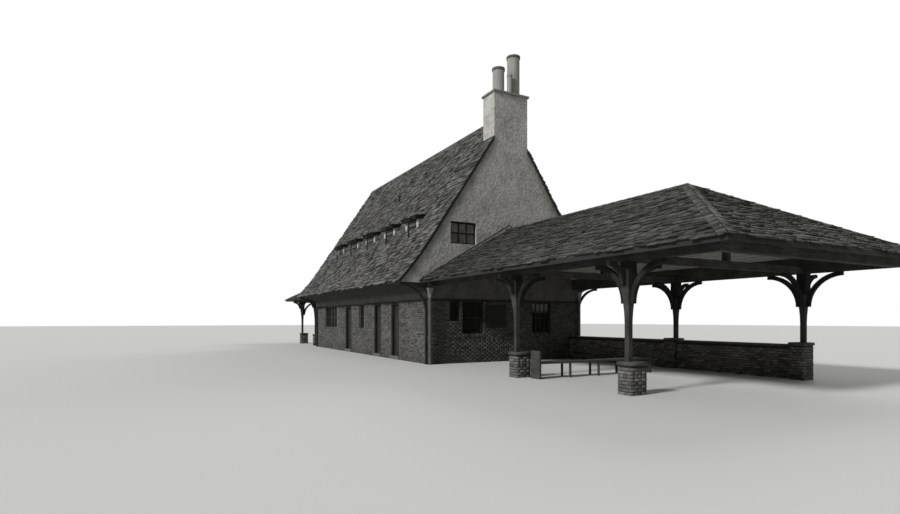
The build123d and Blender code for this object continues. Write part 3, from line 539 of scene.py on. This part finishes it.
def slate_finish(name, dark, light, damp_share=1.0):
    """Riven slate: each one's own tone, broad clouds of weather, a split face, and damp by the end walls."""
    finish, tree, shader, place = start_finish(name, 0.8, 0.25)
    tone = shade(tree, "ShaderNodeAttribute", attribute_name="tone").outputs["Fac"]
    body = ramp(tree, tone, 0.0, 1.0, warm(dark), warm(light))
    clouded = times(tree, body, ramp(tree, cloud(tree, place, 0.9, 6), 0.3, 0.7, plain(0.7), plain(1.25)))
    grain = cloud(tree, place, 18, 5, (1, 0.35, 0.35))
    streaked = times(tree, clouded, ramp(tree, grain, 0.3, 0.7, plain(0.65), plain(1.25)))
    aside = reckon(tree, "ABSOLUTE", reach(tree, place, "X"))
    past_damp = between(tree, aside, end_x + damp_start, end_x + damp_reach)
    dry = ramp(tree, past_damp, 0.0, 1.0, plain(damp_share), plain(1))
    tree.links.new(times(tree, streaked, dry), shader.inputs["Base Color"])
    bumps(tree, shader, cloud(tree, place, 45, 6, (1, 0.5, 0.5)), 0.012)
    return finish


def slate_piece(name, parts, finish, slot, marked=None):
    """One piece of all the slates on these slopes.

    Each slate has its own tone, which drops to a fifth on its underside and to about a third at its head, as
    painted shade under the slate that laps over it, and to less in the dark streaks below the dormers' far
    jambs."""
    backs, fronts = zip(*parts)
    points, quads = joined_blocks(np.concatenate(backs), np.concatenate(fronts))
    own = np.clip(rng.normal(0.52, 0.31, len(points) // 8), 0, 1)
    if marked is not None:
        own = np.where(marked(points.reshape(-1, 8, 3).mean(1)), 0.15 * own, own)
    # Painted shade: each slate's underside and head are darkened, as under the slate that laps over it.
    shade_across_slate = np.array([0.2, 0.2, 0.2, 0.2, 1.0, 1.0, 0.35, 0.35])
    return make_piece(name, points, quads, finish, slot, (own[:, None] * shade_across_slate).ravel())


def below_jamb(middles):
    """Whether a slate lies in the dark streak below the far jamb of a dormer."""
    along = np.abs(middles[:, :1] - (np.array(dormer_xs) - streak_offset)).min(1)
    down = (ridge_z - middles[:, 2]) / sin(pitch)
    return (along < streak_half) & (down > streak_from) & (down < streak_to)


def around_openings(slates, side):
    """The slates left once they are cut to the dormers' jambs and back from the chimney.

    Beside a dormer a slate keeps what lies outside the jamb, and under one it starts at the jambs' foot or
    stops behind the hood."""
    left, right, head, tail = slates.T.copy()
    crossing = (tail > dormer_head) & (head < dormer_foot)
    for x in dormer_xs:
        low = side * x - dormer_half
        high = side * x + dormer_half
        middle = (left + right) / 2
        under = crossing & (middle > low) & (middle < high)
        right = np.where(crossing & (middle <= low), np.minimum(right, low), right)
        left = np.where(crossing & (middle >= high), np.maximum(left, high), left)
        lower = under & (tail > dormer_foot + dormer_lap)
        upper = under & ~lower & (head < dormer_head - dormer_lap)
        head = np.where(lower, np.maximum(head, dormer_foot), head)
        tail = np.where(upper, np.minimum(tail, dormer_head), tail)
        right = np.where(under & ~lower & ~upper, left, right)
    beside_chimney = head * cos(pitch) < (chimney_corner[1].y if side < 0 else -chimney_corner[0].y)
    stop = chimney_corner[0].x
    if side > 0:
        right = np.where(beside_chimney, np.minimum(right, stop), right)
    else:
        left = np.where(beside_chimney, np.maximum(left, -stop), left)
    return np.column_stack([left, right, head, tail])[right - left > least_slate]


roof_courses = round((slope_length + eave_lip) / slate_show)
verge = roof_end + verge_lip
slates = slate_finish("roof_slates", 0.014, 0.18)
for name, side in (("street_slates", 1), ("rear_slates", -1)):
    laid = around_openings(lay_slates(roof_courses, -verge, verge), side)
    ground = np.zeros(3)
    parts = [slate_blocks(laid, main_profile, ground, side * axis_x, -side * axis_y, (-verge, 0), (verge, 0))]
    slate_piece(name, parts, slates, "roof", below_jamb)


# Boards under the slates
# Sawn boards nailed side by side over the rafters, dark with age and tar. They are seen at the verges, along
# the eave and on the underside of the canopies.
crisp_edge = 0.01


def board_finish(name, dark, light, plank, eave_shade_below=0.0):
    """Sawn boards side by side: a joint line at every plank, grain along them, and painted shade along the
    eave's edge.
    """
    finish, tree, shader, place = start_finish(name, 0.85)
    grain = cloud(tree, place, 14, 6, (0.15, 1, 1))
    body = ramp(tree, grain, 0.3, 0.7, warm(dark), warm(light))
    wave = {"Vector": place, "Scale": 1 / plank / pi, "Distortion": 0.4}
    joints = shade(tree, "ShaderNodeTexWave", wave, bands_direction="Y")
    lined = times(tree, body, ramp(tree, joints.outputs["Fac"], 0.0, 0.12, plain(0.45), plain(1)))
    level = reach(tree, place, "Z")
    # Painted shade: the boards' edge along the eave, under the slates' lip, is darkened.
    over_eave_shade = between(tree, level, eave_shade_below, eave_shade_below + crisp_edge)
    edge = ramp(tree, over_eave_shade, 0.0, 1.0, plain(0.07), plain(1))
    tree.links.new(times(tree, lined, edge), shader.inputs["Base Color"])
    bumps(tree, shader, grain, 0.003)
    return finish


boards = board_finish("tarred_boards", 0.02, 0.04, 0.14)
for node in ("front_roof", "rear_roof"):
    dress(node, boards)


# Ridge
# Saddles of the same slate, dressed to lie on both slopes. They are bedded in mortar along the ridge, each
# lapped over the next.
saddle_length = 0.32
saddle_lap = 1.12
saddle_head = 0.026
saddle_tail = 0.034
saddle_under = 0.02
saddle_over = 0.012
ridge_wing = 0.19


def saddle_blocks(start, stop, wings, length, width):
    """Overlapping saddles from start to stop, each with a wing down either side of the line.

    They are spaced evenly, each is a little longer than its step, and its tail rides higher than its head."""
    start = np.asarray(start, float)
    run = np.asarray(stop, float) - start
    total = np.linalg.norm(run)
    line = run / total
    count = round(total / length)
    at = (np.arange(count) * total / count)[:, None, None]
    ends = total / count * np.array([0, saddle_lap, saddle_lap, 0])
    backs = []
    fronts = []
    for wing in wings:
        wing = np.asarray(wing, float) / np.linalg.norm(wing)
        normal = np.cross(wing, line)
        order = [0, 1, 2, 3] if normal[2] > 0 else [3, 2, 1, 0]
        normal = normal * np.sign(normal[2])
        along = start + at * line + (ends[:, None] * line)[None]
        flat = (along + (np.array([1, 1, 0, 0]) * width)[:, None] * wing)[:, order]
        tip = np.array([saddle_head, saddle_tail, saddle_tail, saddle_head])[order][:, None]
        backs.append(flat + (tip - saddle_under) * normal)
        fronts.append(flat + (tip + saddle_over) * normal)
    return np.concatenate(backs), np.concatenate(fronts)


slope_down = (0, -cos(pitch), -sin(pitch))
slope_back = (0, cos(pitch), -sin(pitch))
ridge_stop = (chimney_corner[0].x, 0, ridge_z)
ridge_wings = (slope_down, slope_back)
ridge = saddle_blocks((-verge, 0, ridge_z), ridge_stop, ridge_wings, saddle_length, ridge_wing)
slate_piece("ridge_saddles", [ridge], slates, "roof")
dress("ridge_cap", mortar)


# Dormers
# A row of small louvred vents: white boards stand on the slates and carry a flat hood of tarred timber
# under its own slates, and a dark spout drops from each hood's face.
hood_half = 0.70
hood_front_run = 3.08
hood_front_z = 5.735
hood_slope = 0.13
hood_pitch = atan(hood_slope)
hood_run = 0.478
hood_length = hood_run / cos(hood_pitch)
hood_courses = 3
hood_lip = 0.03
hood_side_lip = 0.02


def hood_profile(down):
    """A hood's top as one straight line from where it leaves the slope out to its front."""
    run = hood_front_run + (down - hood_length) * cos(hood_pitch)
    height = hood_front_z - (down - hood_length) * sin(hood_pitch)
    return run, height, np.full_like(down, hood_pitch)


def paint_finish(name, body, worn):
    """Oil paint on wood, gone dull: brush marks and weathered patches."""
    finish, tree, shader, place = start_finish(name, 0.75, 0.15)
    patches = ramp(tree, cloud(tree, place, 7, 6), 0.38, 0.62, warm(worn), warm(body))
    grain = cloud(tree, place, 60, 4, (1, 1, 0.12))
    streaked = times(tree, patches, ramp(tree, grain, 0.3, 0.7, plain(0.85), plain(1.05)))
    tree.links.new(streaked, shader.inputs["Base Color"])
    bumps(tree, shader, grain, 0.0015)
    return finish


hood_parts = []
for x in dormer_xs:
    for side in (1, -1):
        middle = np.array([x, 0, 0])
        laid = lay_slates(hood_courses, -hood_half - hood_side_lip, hood_half + hood_side_lip)
        laid[:, 2:] += hood_length + hood_lip - hood_courses * slate_show
        edge = hood_half + hood_lip
        hood_parts.append(
            slate_blocks(laid, hood_profile, middle, side * axis_x, -side * axis_y, (-edge, 0), (edge, 0))
        )

slate_piece("hood_slates", hood_parts, slate_finish("hood_slate_faces", 0.012, 0.05), "roof")
dress("dormer_hoods", board_finish("hood_timber", 0.008, 0.014, 0.13))
dress("dormer_jambs", paint_finish("white_paint", 0.42, 0.33))
dress("dormer_louvres", paint_finish("grey_paint", 0.3, 0.22))


# Gables and chimney
# Rough stucco over brick, thrown on and pressed back with the trowel. It is stained by the windows, and it
# carries painted shade along the verges, as under the verge overhang. Below the canopies the gable is sooty,
# as dark as the frieze.
def stucco_finish(name, verge_shade_share):
    """Thrown stucco: pressed patches, a coarse grain, stains, painted shade by the verges, and soot below a
    canopy.
    """
    finish, tree, shader, place = start_finish(name, 0.95)
    body = ramp(tree, cloud(tree, place, 0.8, 5), 0.3, 0.7, warm(0.36), warm(0.46))
    cells = {"Vector": place, "Scale": 9.0, "Randomness": 1.0}
    dabs = shade(tree, "ShaderNodeTexVoronoi", cells, feature="SMOOTH_F1").outputs["Distance"]
    dabbed = times(tree, body, ramp(tree, dabs, 0.1, 0.75, plain(1.08), plain(0.78)))
    stains = ramp(tree, cloud(tree, place, 2.6, 6), 0.34, 0.54, plain(0.82), plain(1.02))
    marked = times(tree, dabbed, stains)
    wander = reckon(tree, "MULTIPLY", cloud(tree, place, 1.1, 6), 0.9)
    near_verge = reckon(tree, "ADD", height_over(tree, place, ridge_z, roof_slope), wander)
    # Painted shade: a band along the verges, where the verge overhang would shade the gable.
    edge = between(tree, near_verge, -0.3, 0.3)
    verge_shaded = times(tree, marked, ramp(tree, edge, 0.0, 1.0, plain(1), plain(verge_shade_share)))
    over_canopy = height_over(tree, place, canopy_ridge - 0.1, canopy_slope)
    sooty = ramp(tree, between(tree, over_canopy, -0.03, 0.0), 0.0, 1.0, plain(0.24), plain(1))
    tree.links.new(times(tree, verge_shaded, sooty), shader.inputs["Base Color"])
    bumps(tree, shader, reckon(tree, "ADD", dabs, cloud(tree, place, 26, 8)), 0.02)
    return finish


canopy_ridge = 5.11
canopy_eave = 3.04
canopy_half = 3.81
canopy_slope = (canopy_ridge - canopy_eave) / canopy_half
dress("gables", stucco_finish("gable_stucco", 0.55))
dress("chimney_stack", stucco_finish("chimney_stucco", 1.0))
dress("chimney_cap", stone)

pots_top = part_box("chimney_pots")[1].z
tall_pot_from = 0.86
tall_pot_side = chimney_corner[0].y + tall_pot_from
tall_pot_more = 0.615
pot_rim = 0.09


def pot_finish():
    """Rendered clay: streaks, and soot on each pot's rim, which is higher up on the tall pot."""
    finish, tree, shader, place = start_finish("rendered_clay", 0.85)
    streaks = cloud(tree, place, 12, 5, (1, 1, 0.1))
    body = ramp(tree, streaks, 0.3, 0.7, warm(0.24), warm(0.34))
    tall = between(tree, reach(tree, place, "Y"), tall_pot_side, tall_pot_side + crisp_edge)
    level = reckon(tree, "MULTIPLY_ADD", tall, -tall_pot_more, reach(tree, place, "Z"))
    rim = pots_top - tall_pot_more - pot_rim
    darker_above = ramp(tree, between(tree, level, rim - crisp_edge, rim), 0.0, 1.0, plain(1), plain(0.3))
    tree.links.new(times(tree, body, darker_above), shader.inputs["Base Color"])
    bumps(tree, shader, cloud(tree, place, 60, 5), 0.003)
    return finish


dress("chimney_pots", pot_finish())


# Coved eaves and upper walls
# Smooth lime plaster on laths, trowelled on from the belt up the frieze and out to the eave. Its dark tone
# stands partly for the shade under the eave, and from where the curve begins it is darker still as painted
# shade.
frieze_shade_from = 2.50
frieze_shade_full = 2.66


def plaster_finish():
    """Trowelled plaster: faint clouds, hairline relief, and painted shade over the upper frieze and the cove.
    """
    finish, tree, shader, place = start_finish("lime_plaster", 0.9)
    # The plaster's dark tone stands partly for the shade under the eave.
    body = ramp(tree, cloud(tree, place, 1.6, 5), 0.3, 0.7, warm(0.075), warm(0.11))
    spots = times(tree, body, ramp(tree, cloud(tree, place, 16, 5), 0.3, 0.7, plain(0.88), plain(1.06)))
    level = reach(tree, place, "Z")
    # Painted shade: darker above the frieze's paler low band, as under the eave.
    darker_above = ramp(tree, between(tree, level, frieze_shade_from, frieze_shade_full), 0.0, 1.0, plain(1), plain(0.4))
    tree.links.new(times(tree, spots, darker_above), shader.inputs["Base Color"])
    bumps(tree, shader, cloud(tree, place, 40, 6), 0.003)
    return finish


plaster = plaster_finish()
dress("eave_coves", plaster)
dress("upper_long_walls", plaster)
dress("attic_floor", board_finish("attic_boards", 0.12, 0.2, 0.16))


# Timber belt, corner brackets, canopy frame and window frames
# Heavy sawn timber, jointed and pegged under dark stain, and checked by the weather along its grain. The
# canopy posts carry painted shade at their heads, as under the canopy's eave, the braces are a darker copy
# as painted shade, and the window frames are painted.
post_shade_from = 2.24
shade_fade = 0.08


def timber_finish(name, dark, light, grain_way, shaded_over=10.0):
    """Stained timber, with grain and checks drawn out along one axis, and painted shade over a height."""
    finish, tree, shader, place = start_finish(name, 0.85, 0.1)
    stretch = [1.0, 1.0, 1.0]
    stretch["XYZ".index(grain_way)] = 0.08
    grain = cloud(tree, place, 26, 6, stretch)
    body = ramp(tree, grain, 0.32, 0.68, warm(dark), warm(light))
    worn = times(tree, body, ramp(tree, cloud(tree, place, 2.5, 5), 0.35, 0.7, plain(0.75), plain(1.25)))
    level = reach(tree, place, "Z")
    # Painted shade: darker over a height, which the posts' heads use.
    over = between(tree, level, shaded_over, shaded_over + shade_fade)
    darker_above = ramp(tree, over, 0.0, 1.0, plain(1), plain(0.4))
    tree.links.new(times(tree, worn, darker_above), shader.inputs["Base Color"])
    bumps(tree, shader, grain, 0.004)
    return finish


long_timber = timber_finish("timber_along", 0.015, 0.028, "X")
cross_timber = timber_finish("timber_across", 0.015, 0.028, "Y")
upright_timber = timber_finish("timber_upright", 0.016, 0.029, "Z")
# A darker copy of the timber for the braces, as painted shade under the canopy.
shaded_brace_timber = timber_finish("shaded_brace_timber", 0.013, 0.024, "Z")
# The posts' heads get painted shade over this height, where the canopy's eave shades them.
post_timber = timber_finish("post_timber", 0.031, 0.056, "Z", post_shade_from)
dress("long_belts", long_timber)
dress("canopy_beams", timber_finish("beam_timber", 0.028, 0.05, "X"))
dress("end_belts", cross_timber)
dress("canopy_ties", timber_finish("tie_timber", 0.035, 0.06, "Y"))
for node in ("corner_brackets", "door_jambs", "door_heads"):
    dress(node, upright_timber)
dress("canopy_braces", shaded_brace_timber)
dress("canopy_posts", post_timber)
dress("ground_window_frames", paint_finish("sash_paint", 0.024, 0.017))
dress("gable_window_frames", paint_finish("gable_sash_paint", 0.014, 0.01))


# Doors
# Framed leaves of painted wood, hung on pinned hinges between timber jambs. Under each lies a sill of
# dressed stone, let into the wall, and the floor inside is stone too.
# The leaves' dark paint is partly painted shade, for the shade of a reveal deeper than the jambs give.
door_paint = paint_finish("door_paint", 0.03, 0.02)
for node in ("near_door", "middle_door", "far_door", "rear_doors"):
    dress(node, door_paint)
dress("door_sills", stone_finish("sill_stone", 0.09, 0.14))
dress("floor_slab", stone)


# Window glass
# Thin drawn glass, puttied in behind the bars and dim with dust and soot, so that it hardly shines. The attic
# panes' film is paler, as dust and as painted reflection, and the upper panes of the end walls' windows that
# lie furthest along Y are pale as painted light from the window behind them.
attic_glass_foot = 3.5
end_glass_depth = 0.34
backlit_panes_y = 0.5
backlight_from = 1.85
backlight_full = 2.05


def glass_finish():
    """Glass under a film that hides half of what is behind it, with a faint slow ripple.

    The film is dirt, paler in the attic as painted reflection and in some end-wall panes as painted light.
    """
    finish, tree, shader, place = start_finish("window_glass", 0.1, 0.5)
    level = reach(tree, place, "Z")
    # Painted reflection: the attic panes' film is paler.
    upper = between(tree, level, attic_glass_foot, attic_glass_foot + crisp_edge)
    film = ramp(tree, upper, 0.0, 1.0, warm(0.03), warm(0.31))
    # Painted light: the upper panes of the end walls' windows furthest along Y are pale, as lit from the
    # window behind.
    end_glass = end_x - end_glass_depth
    aside = reckon(tree, "ABSOLUTE", reach(tree, place, "X"))
    in_end_wall = between(tree, aside, end_glass, end_glass + crisp_edge)
    past_middle = between(tree, reach(tree, place, "Y"), backlit_panes_y, backlit_panes_y + crisp_edge)
    over_rail = between(tree, level, backlight_from, backlight_full)
    backlit = reckon(tree, "MULTIPLY", reckon(tree, "MULTIPLY", in_end_wall, past_middle), over_rail)
    film = shade(tree, "ShaderNodeMix", {0: backlit, 6: film, 7: warm(0.34)}, data_type="RGBA").outputs[2]
    smeared = times(tree, film, ramp(tree, cloud(tree, place, 5), 0.3, 0.7, plain(0.7), plain(1.2)))
    tree.links.new(smeared, shader.inputs["Base Color"])
    shader.inputs["Transmission Weight"].default_value = 0.5
    shader.inputs["IOR"].default_value = 1.04
    bumps(tree, shader, cloud(tree, place, 2, 2), 0.0004)
    return finish


dress("window_glass", glass_finish())


# Canopy roofs
# Lower hipped roofs of the same slates, darker with damp, nailed to boards with painted shade along the eave.
# Saddle slates cover the ridge and the hips, and sheet lead is let into the gable over each.
canopy_wing = 0.17
hip_wing = 0.15
fillet_apex = 5.255
fillet_fall = 0.583
canopy_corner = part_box("canopy_front_slopes")
canopy_pitch = atan(canopy_slope)
canopy_length = canopy_half / cos(canopy_pitch)
near_run = canopy_corner[1].x - end_x
far_run = -canopy_corner[0].x - end_x


def canopy_profile(down):
    """A canopy's slope as one straight line down from its ridge."""
    return down * cos(canopy_pitch), canopy_ridge - down * sin(canopy_pitch), np.full_like(down, canopy_pitch)


canopy_courses = round((canopy_length + eave_lip) / slate_show)
near_wall = np.array([end_x, 0, 0])
far_wall = np.array([-end_x, 0, 0])
near_hip = np.array([end_x + near_run - canopy_half, 0, 0])
far_hip = np.array([-end_x - far_run + canopy_half, 0, 0])
near_ridge = near_run - canopy_half
far_ridge = far_run - canopy_half
slopes = [
    (near_wall, axis_x, -axis_y, (0, 0), (near_ridge, 1)),
    (near_wall, -axis_x, axis_y, (-near_ridge, -1), (0, 0)),
    (far_wall, axis_x, -axis_y, (-far_ridge, -1), (0, 0)),
    (far_wall, -axis_x, axis_y, (0, 0), (far_ridge, 1)),
    (near_hip, axis_y, axis_x, (0, -1), (0, 1)),
    (far_hip, -axis_y, -axis_x, (0, -1), (0, 1)),
]
canopy_slates = slate_finish("canopy_slates", 0.012, 0.105, 0.68)
parts = []
for origin, along, outward, left_edge, right_edge in slopes:
    start = left_edge[0] + left_edge[1] * canopy_half
    stop = right_edge[0] + right_edge[1] * canopy_half
    laid = lay_slates(canopy_courses, start, stop)
    parts.append(slate_blocks(laid, canopy_profile, origin, along, outward, left_edge, right_edge))
slate_piece("canopy_roof_slates", parts, canopy_slates, "canopy_roof")

# The canopy boards' eave edge gets painted shade.
canopy_boards = board_finish("canopy_boards", 0.28, 0.42, 0.12, canopy_eave)
for node in ("canopy_front_slopes", "canopy_rear_slopes", "canopy_hip_ends"):
    dress(node, canopy_boards)

saddle_parts = []
canopy_down = (0, -cos(canopy_pitch), -sin(canopy_pitch))
canopy_back = (0, cos(canopy_pitch), -sin(canopy_pitch))
for wall_x, hip, side in ((end_x, near_hip, 1), (-end_x, far_hip, -1)):
    apex = (hip[0], 0, canopy_ridge)
    wings = (canopy_down, canopy_back)
    saddle_parts.append(saddle_blocks((wall_x, 0, canopy_ridge), apex, wings, saddle_length, canopy_wing))
    for across in (-1, 1):
        foot = np.array([hip[0] + side * canopy_half, across * canopy_half, canopy_eave])
        fall = np.array([0, across * cos(canopy_pitch), -sin(canopy_pitch)])
        end_fall = np.array([side * cos(canopy_pitch), 0, -sin(canopy_pitch)])
        line = foot - apex
        line /= np.linalg.norm(line)
        wings = []
        for down, level in ((fall, axis_x * -side), (end_fall, axis_y * -across)):
            flat = level - level.dot(line) * line
            wings.append(flat)
        saddle_parts.append(saddle_blocks(apex, foot, wings, saddle_length, hip_wing))
slate_piece("canopy_saddles", saddle_parts, canopy_slates, "canopy_roof")
dress("canopy_ridge_caps", shaded_mortar)


def flashing_finish():
    """Dull sheet lead along the top edge, and a pale mortar fillet under it towards the apex."""
    finish, tree, shader, place = start_finish("sheet_lead", 0.7, 0.3)
    over_fillet = height_over(tree, place, fillet_apex, fillet_fall)
    body = ramp(tree, between(tree, over_fillet, -0.015, 0.0), 0.0, 1.0, warm(0.3), warm(0.028))
    dulled = times(tree, body, ramp(tree, cloud(tree, place, 9, 5), 0.3, 0.7, plain(0.8), plain(1.1)))
    tree.links.new(dulled, shader.inputs["Base Color"])
    return finish


lead = flashing_finish()
dress("canopy_flashings", lead)


# Bench, downspouts, vent pipe and notice board
# Plain fittings: a bench of weathered boards on legs, galvanised pipes clipped to the end walls with a rain
# head on each, a dull lead pipe through the roof, and a blank painted board screwed to the brickwork, its
# dark paint partly painted shade for the deep shade on the end wall.
rain_head_foot = 2.42


def pipe_finish():
    """Galvanised sheet: dull on the pipes and paler on the rain heads, with soft blotches."""
    finish, tree, shader, place = start_finish("pipe_zinc", 0.55, 0.35)
    level = reach(tree, place, "Z")
    in_head = between(tree, level, rain_head_foot - crisp_edge, rain_head_foot)
    body = ramp(tree, in_head, 0.0, 1.0, warm(0.066), warm(0.17))
    blotched = times(tree, body, ramp(tree, cloud(tree, place, 7, 6), 0.35, 0.65, plain(0.75), plain(1.1)))
    tree.links.new(blotched, shader.inputs["Base Color"])
    bumps(tree, shader, cloud(tree, place, 30, 4), 0.0015)
    return finish


dress("bench", board_finish("bench_boards", 0.04, 0.07, 0.11))
dress("downspouts", pipe_finish())
dress("vent_pipe", lead)
# The board's dark paint is partly painted shade, standing for deep shade on the end wall.
dress("notice_board", paint_finish("board_paint_and_shade", 0.022, 0.016))


# Studio
# A pale floor and a white background, with one soft key light from the front and a weaker one from
# behind. The world lights the part faintly and evenly, and shows as white.
def studio_lamp(name, towards, strength, width):
    """A far lamp that shines this way, with a soft edge to its shadows."""
    data = bpy.data.lights.new(name, "SUN")
    data.energy = strength
    data.angle = radians(width)
    lamp = bpy.data.objects.new(name, data)
    lamp.rotation_mode = "QUATERNION"
    lamp.rotation_quaternion = Vector(towards).to_track_quat("-Z", "Y")
    bpy.context.scene.collection.objects.link(lamp)


studio_lamp("key_lamp", (-0.15, 0.87, -0.5), 3.0, 8)
studio_lamp("back_lamp", (0.35, -0.8, -0.6), 0.8, 25)

floor_half = 150
floor_corners = [(x * floor_half, y * floor_half, 0) for x, y in ((-1, -1), (1, -1), (1, 1), (-1, 1))]
floor_mesh = bpy.data.meshes.new("studio_floor")
floor_mesh.from_pydata(floor_corners, [], [(0, 1, 2, 3)])
studio_floor = bpy.data.objects.new("studio_floor", floor_mesh)
bpy.context.scene.collection.objects.link(studio_floor)
floor_finish, _, floor_shader, _ = start_finish("pale_floor", 0.95, 0.1)
floor_shader.inputs["Base Color"].default_value = (0.62, 0.62, 0.61, 1)
floor_mesh.materials.append(floor_finish)

world = bpy.data.worlds.new("studio")
world.use_nodes = True
bpy.context.scene.world = world
sky = world.node_tree
background = sky.nodes["Background"]
background.inputs["Color"].default_value = (1, 1, 1, 1)
ray = sky.nodes.new("ShaderNodeLightPath")
seen = reckon(sky, "MAXIMUM", ray.outputs["Is Camera Ray"], ray.outputs["Is Glossy Ray"])
shown = reckon(sky, "MAXIMUM", seen, ray.outputs["Is Transmission Ray"])
brightness = shade(sky, "ShaderNodeMapRange", {"Value": shown, "To Min": 0.3, "To Max": 1.0})
sky.links.new(brightness.outputs[0], background.inputs["Strength"])

bpy.context.scene.view_settings.view_transform = "Standard"
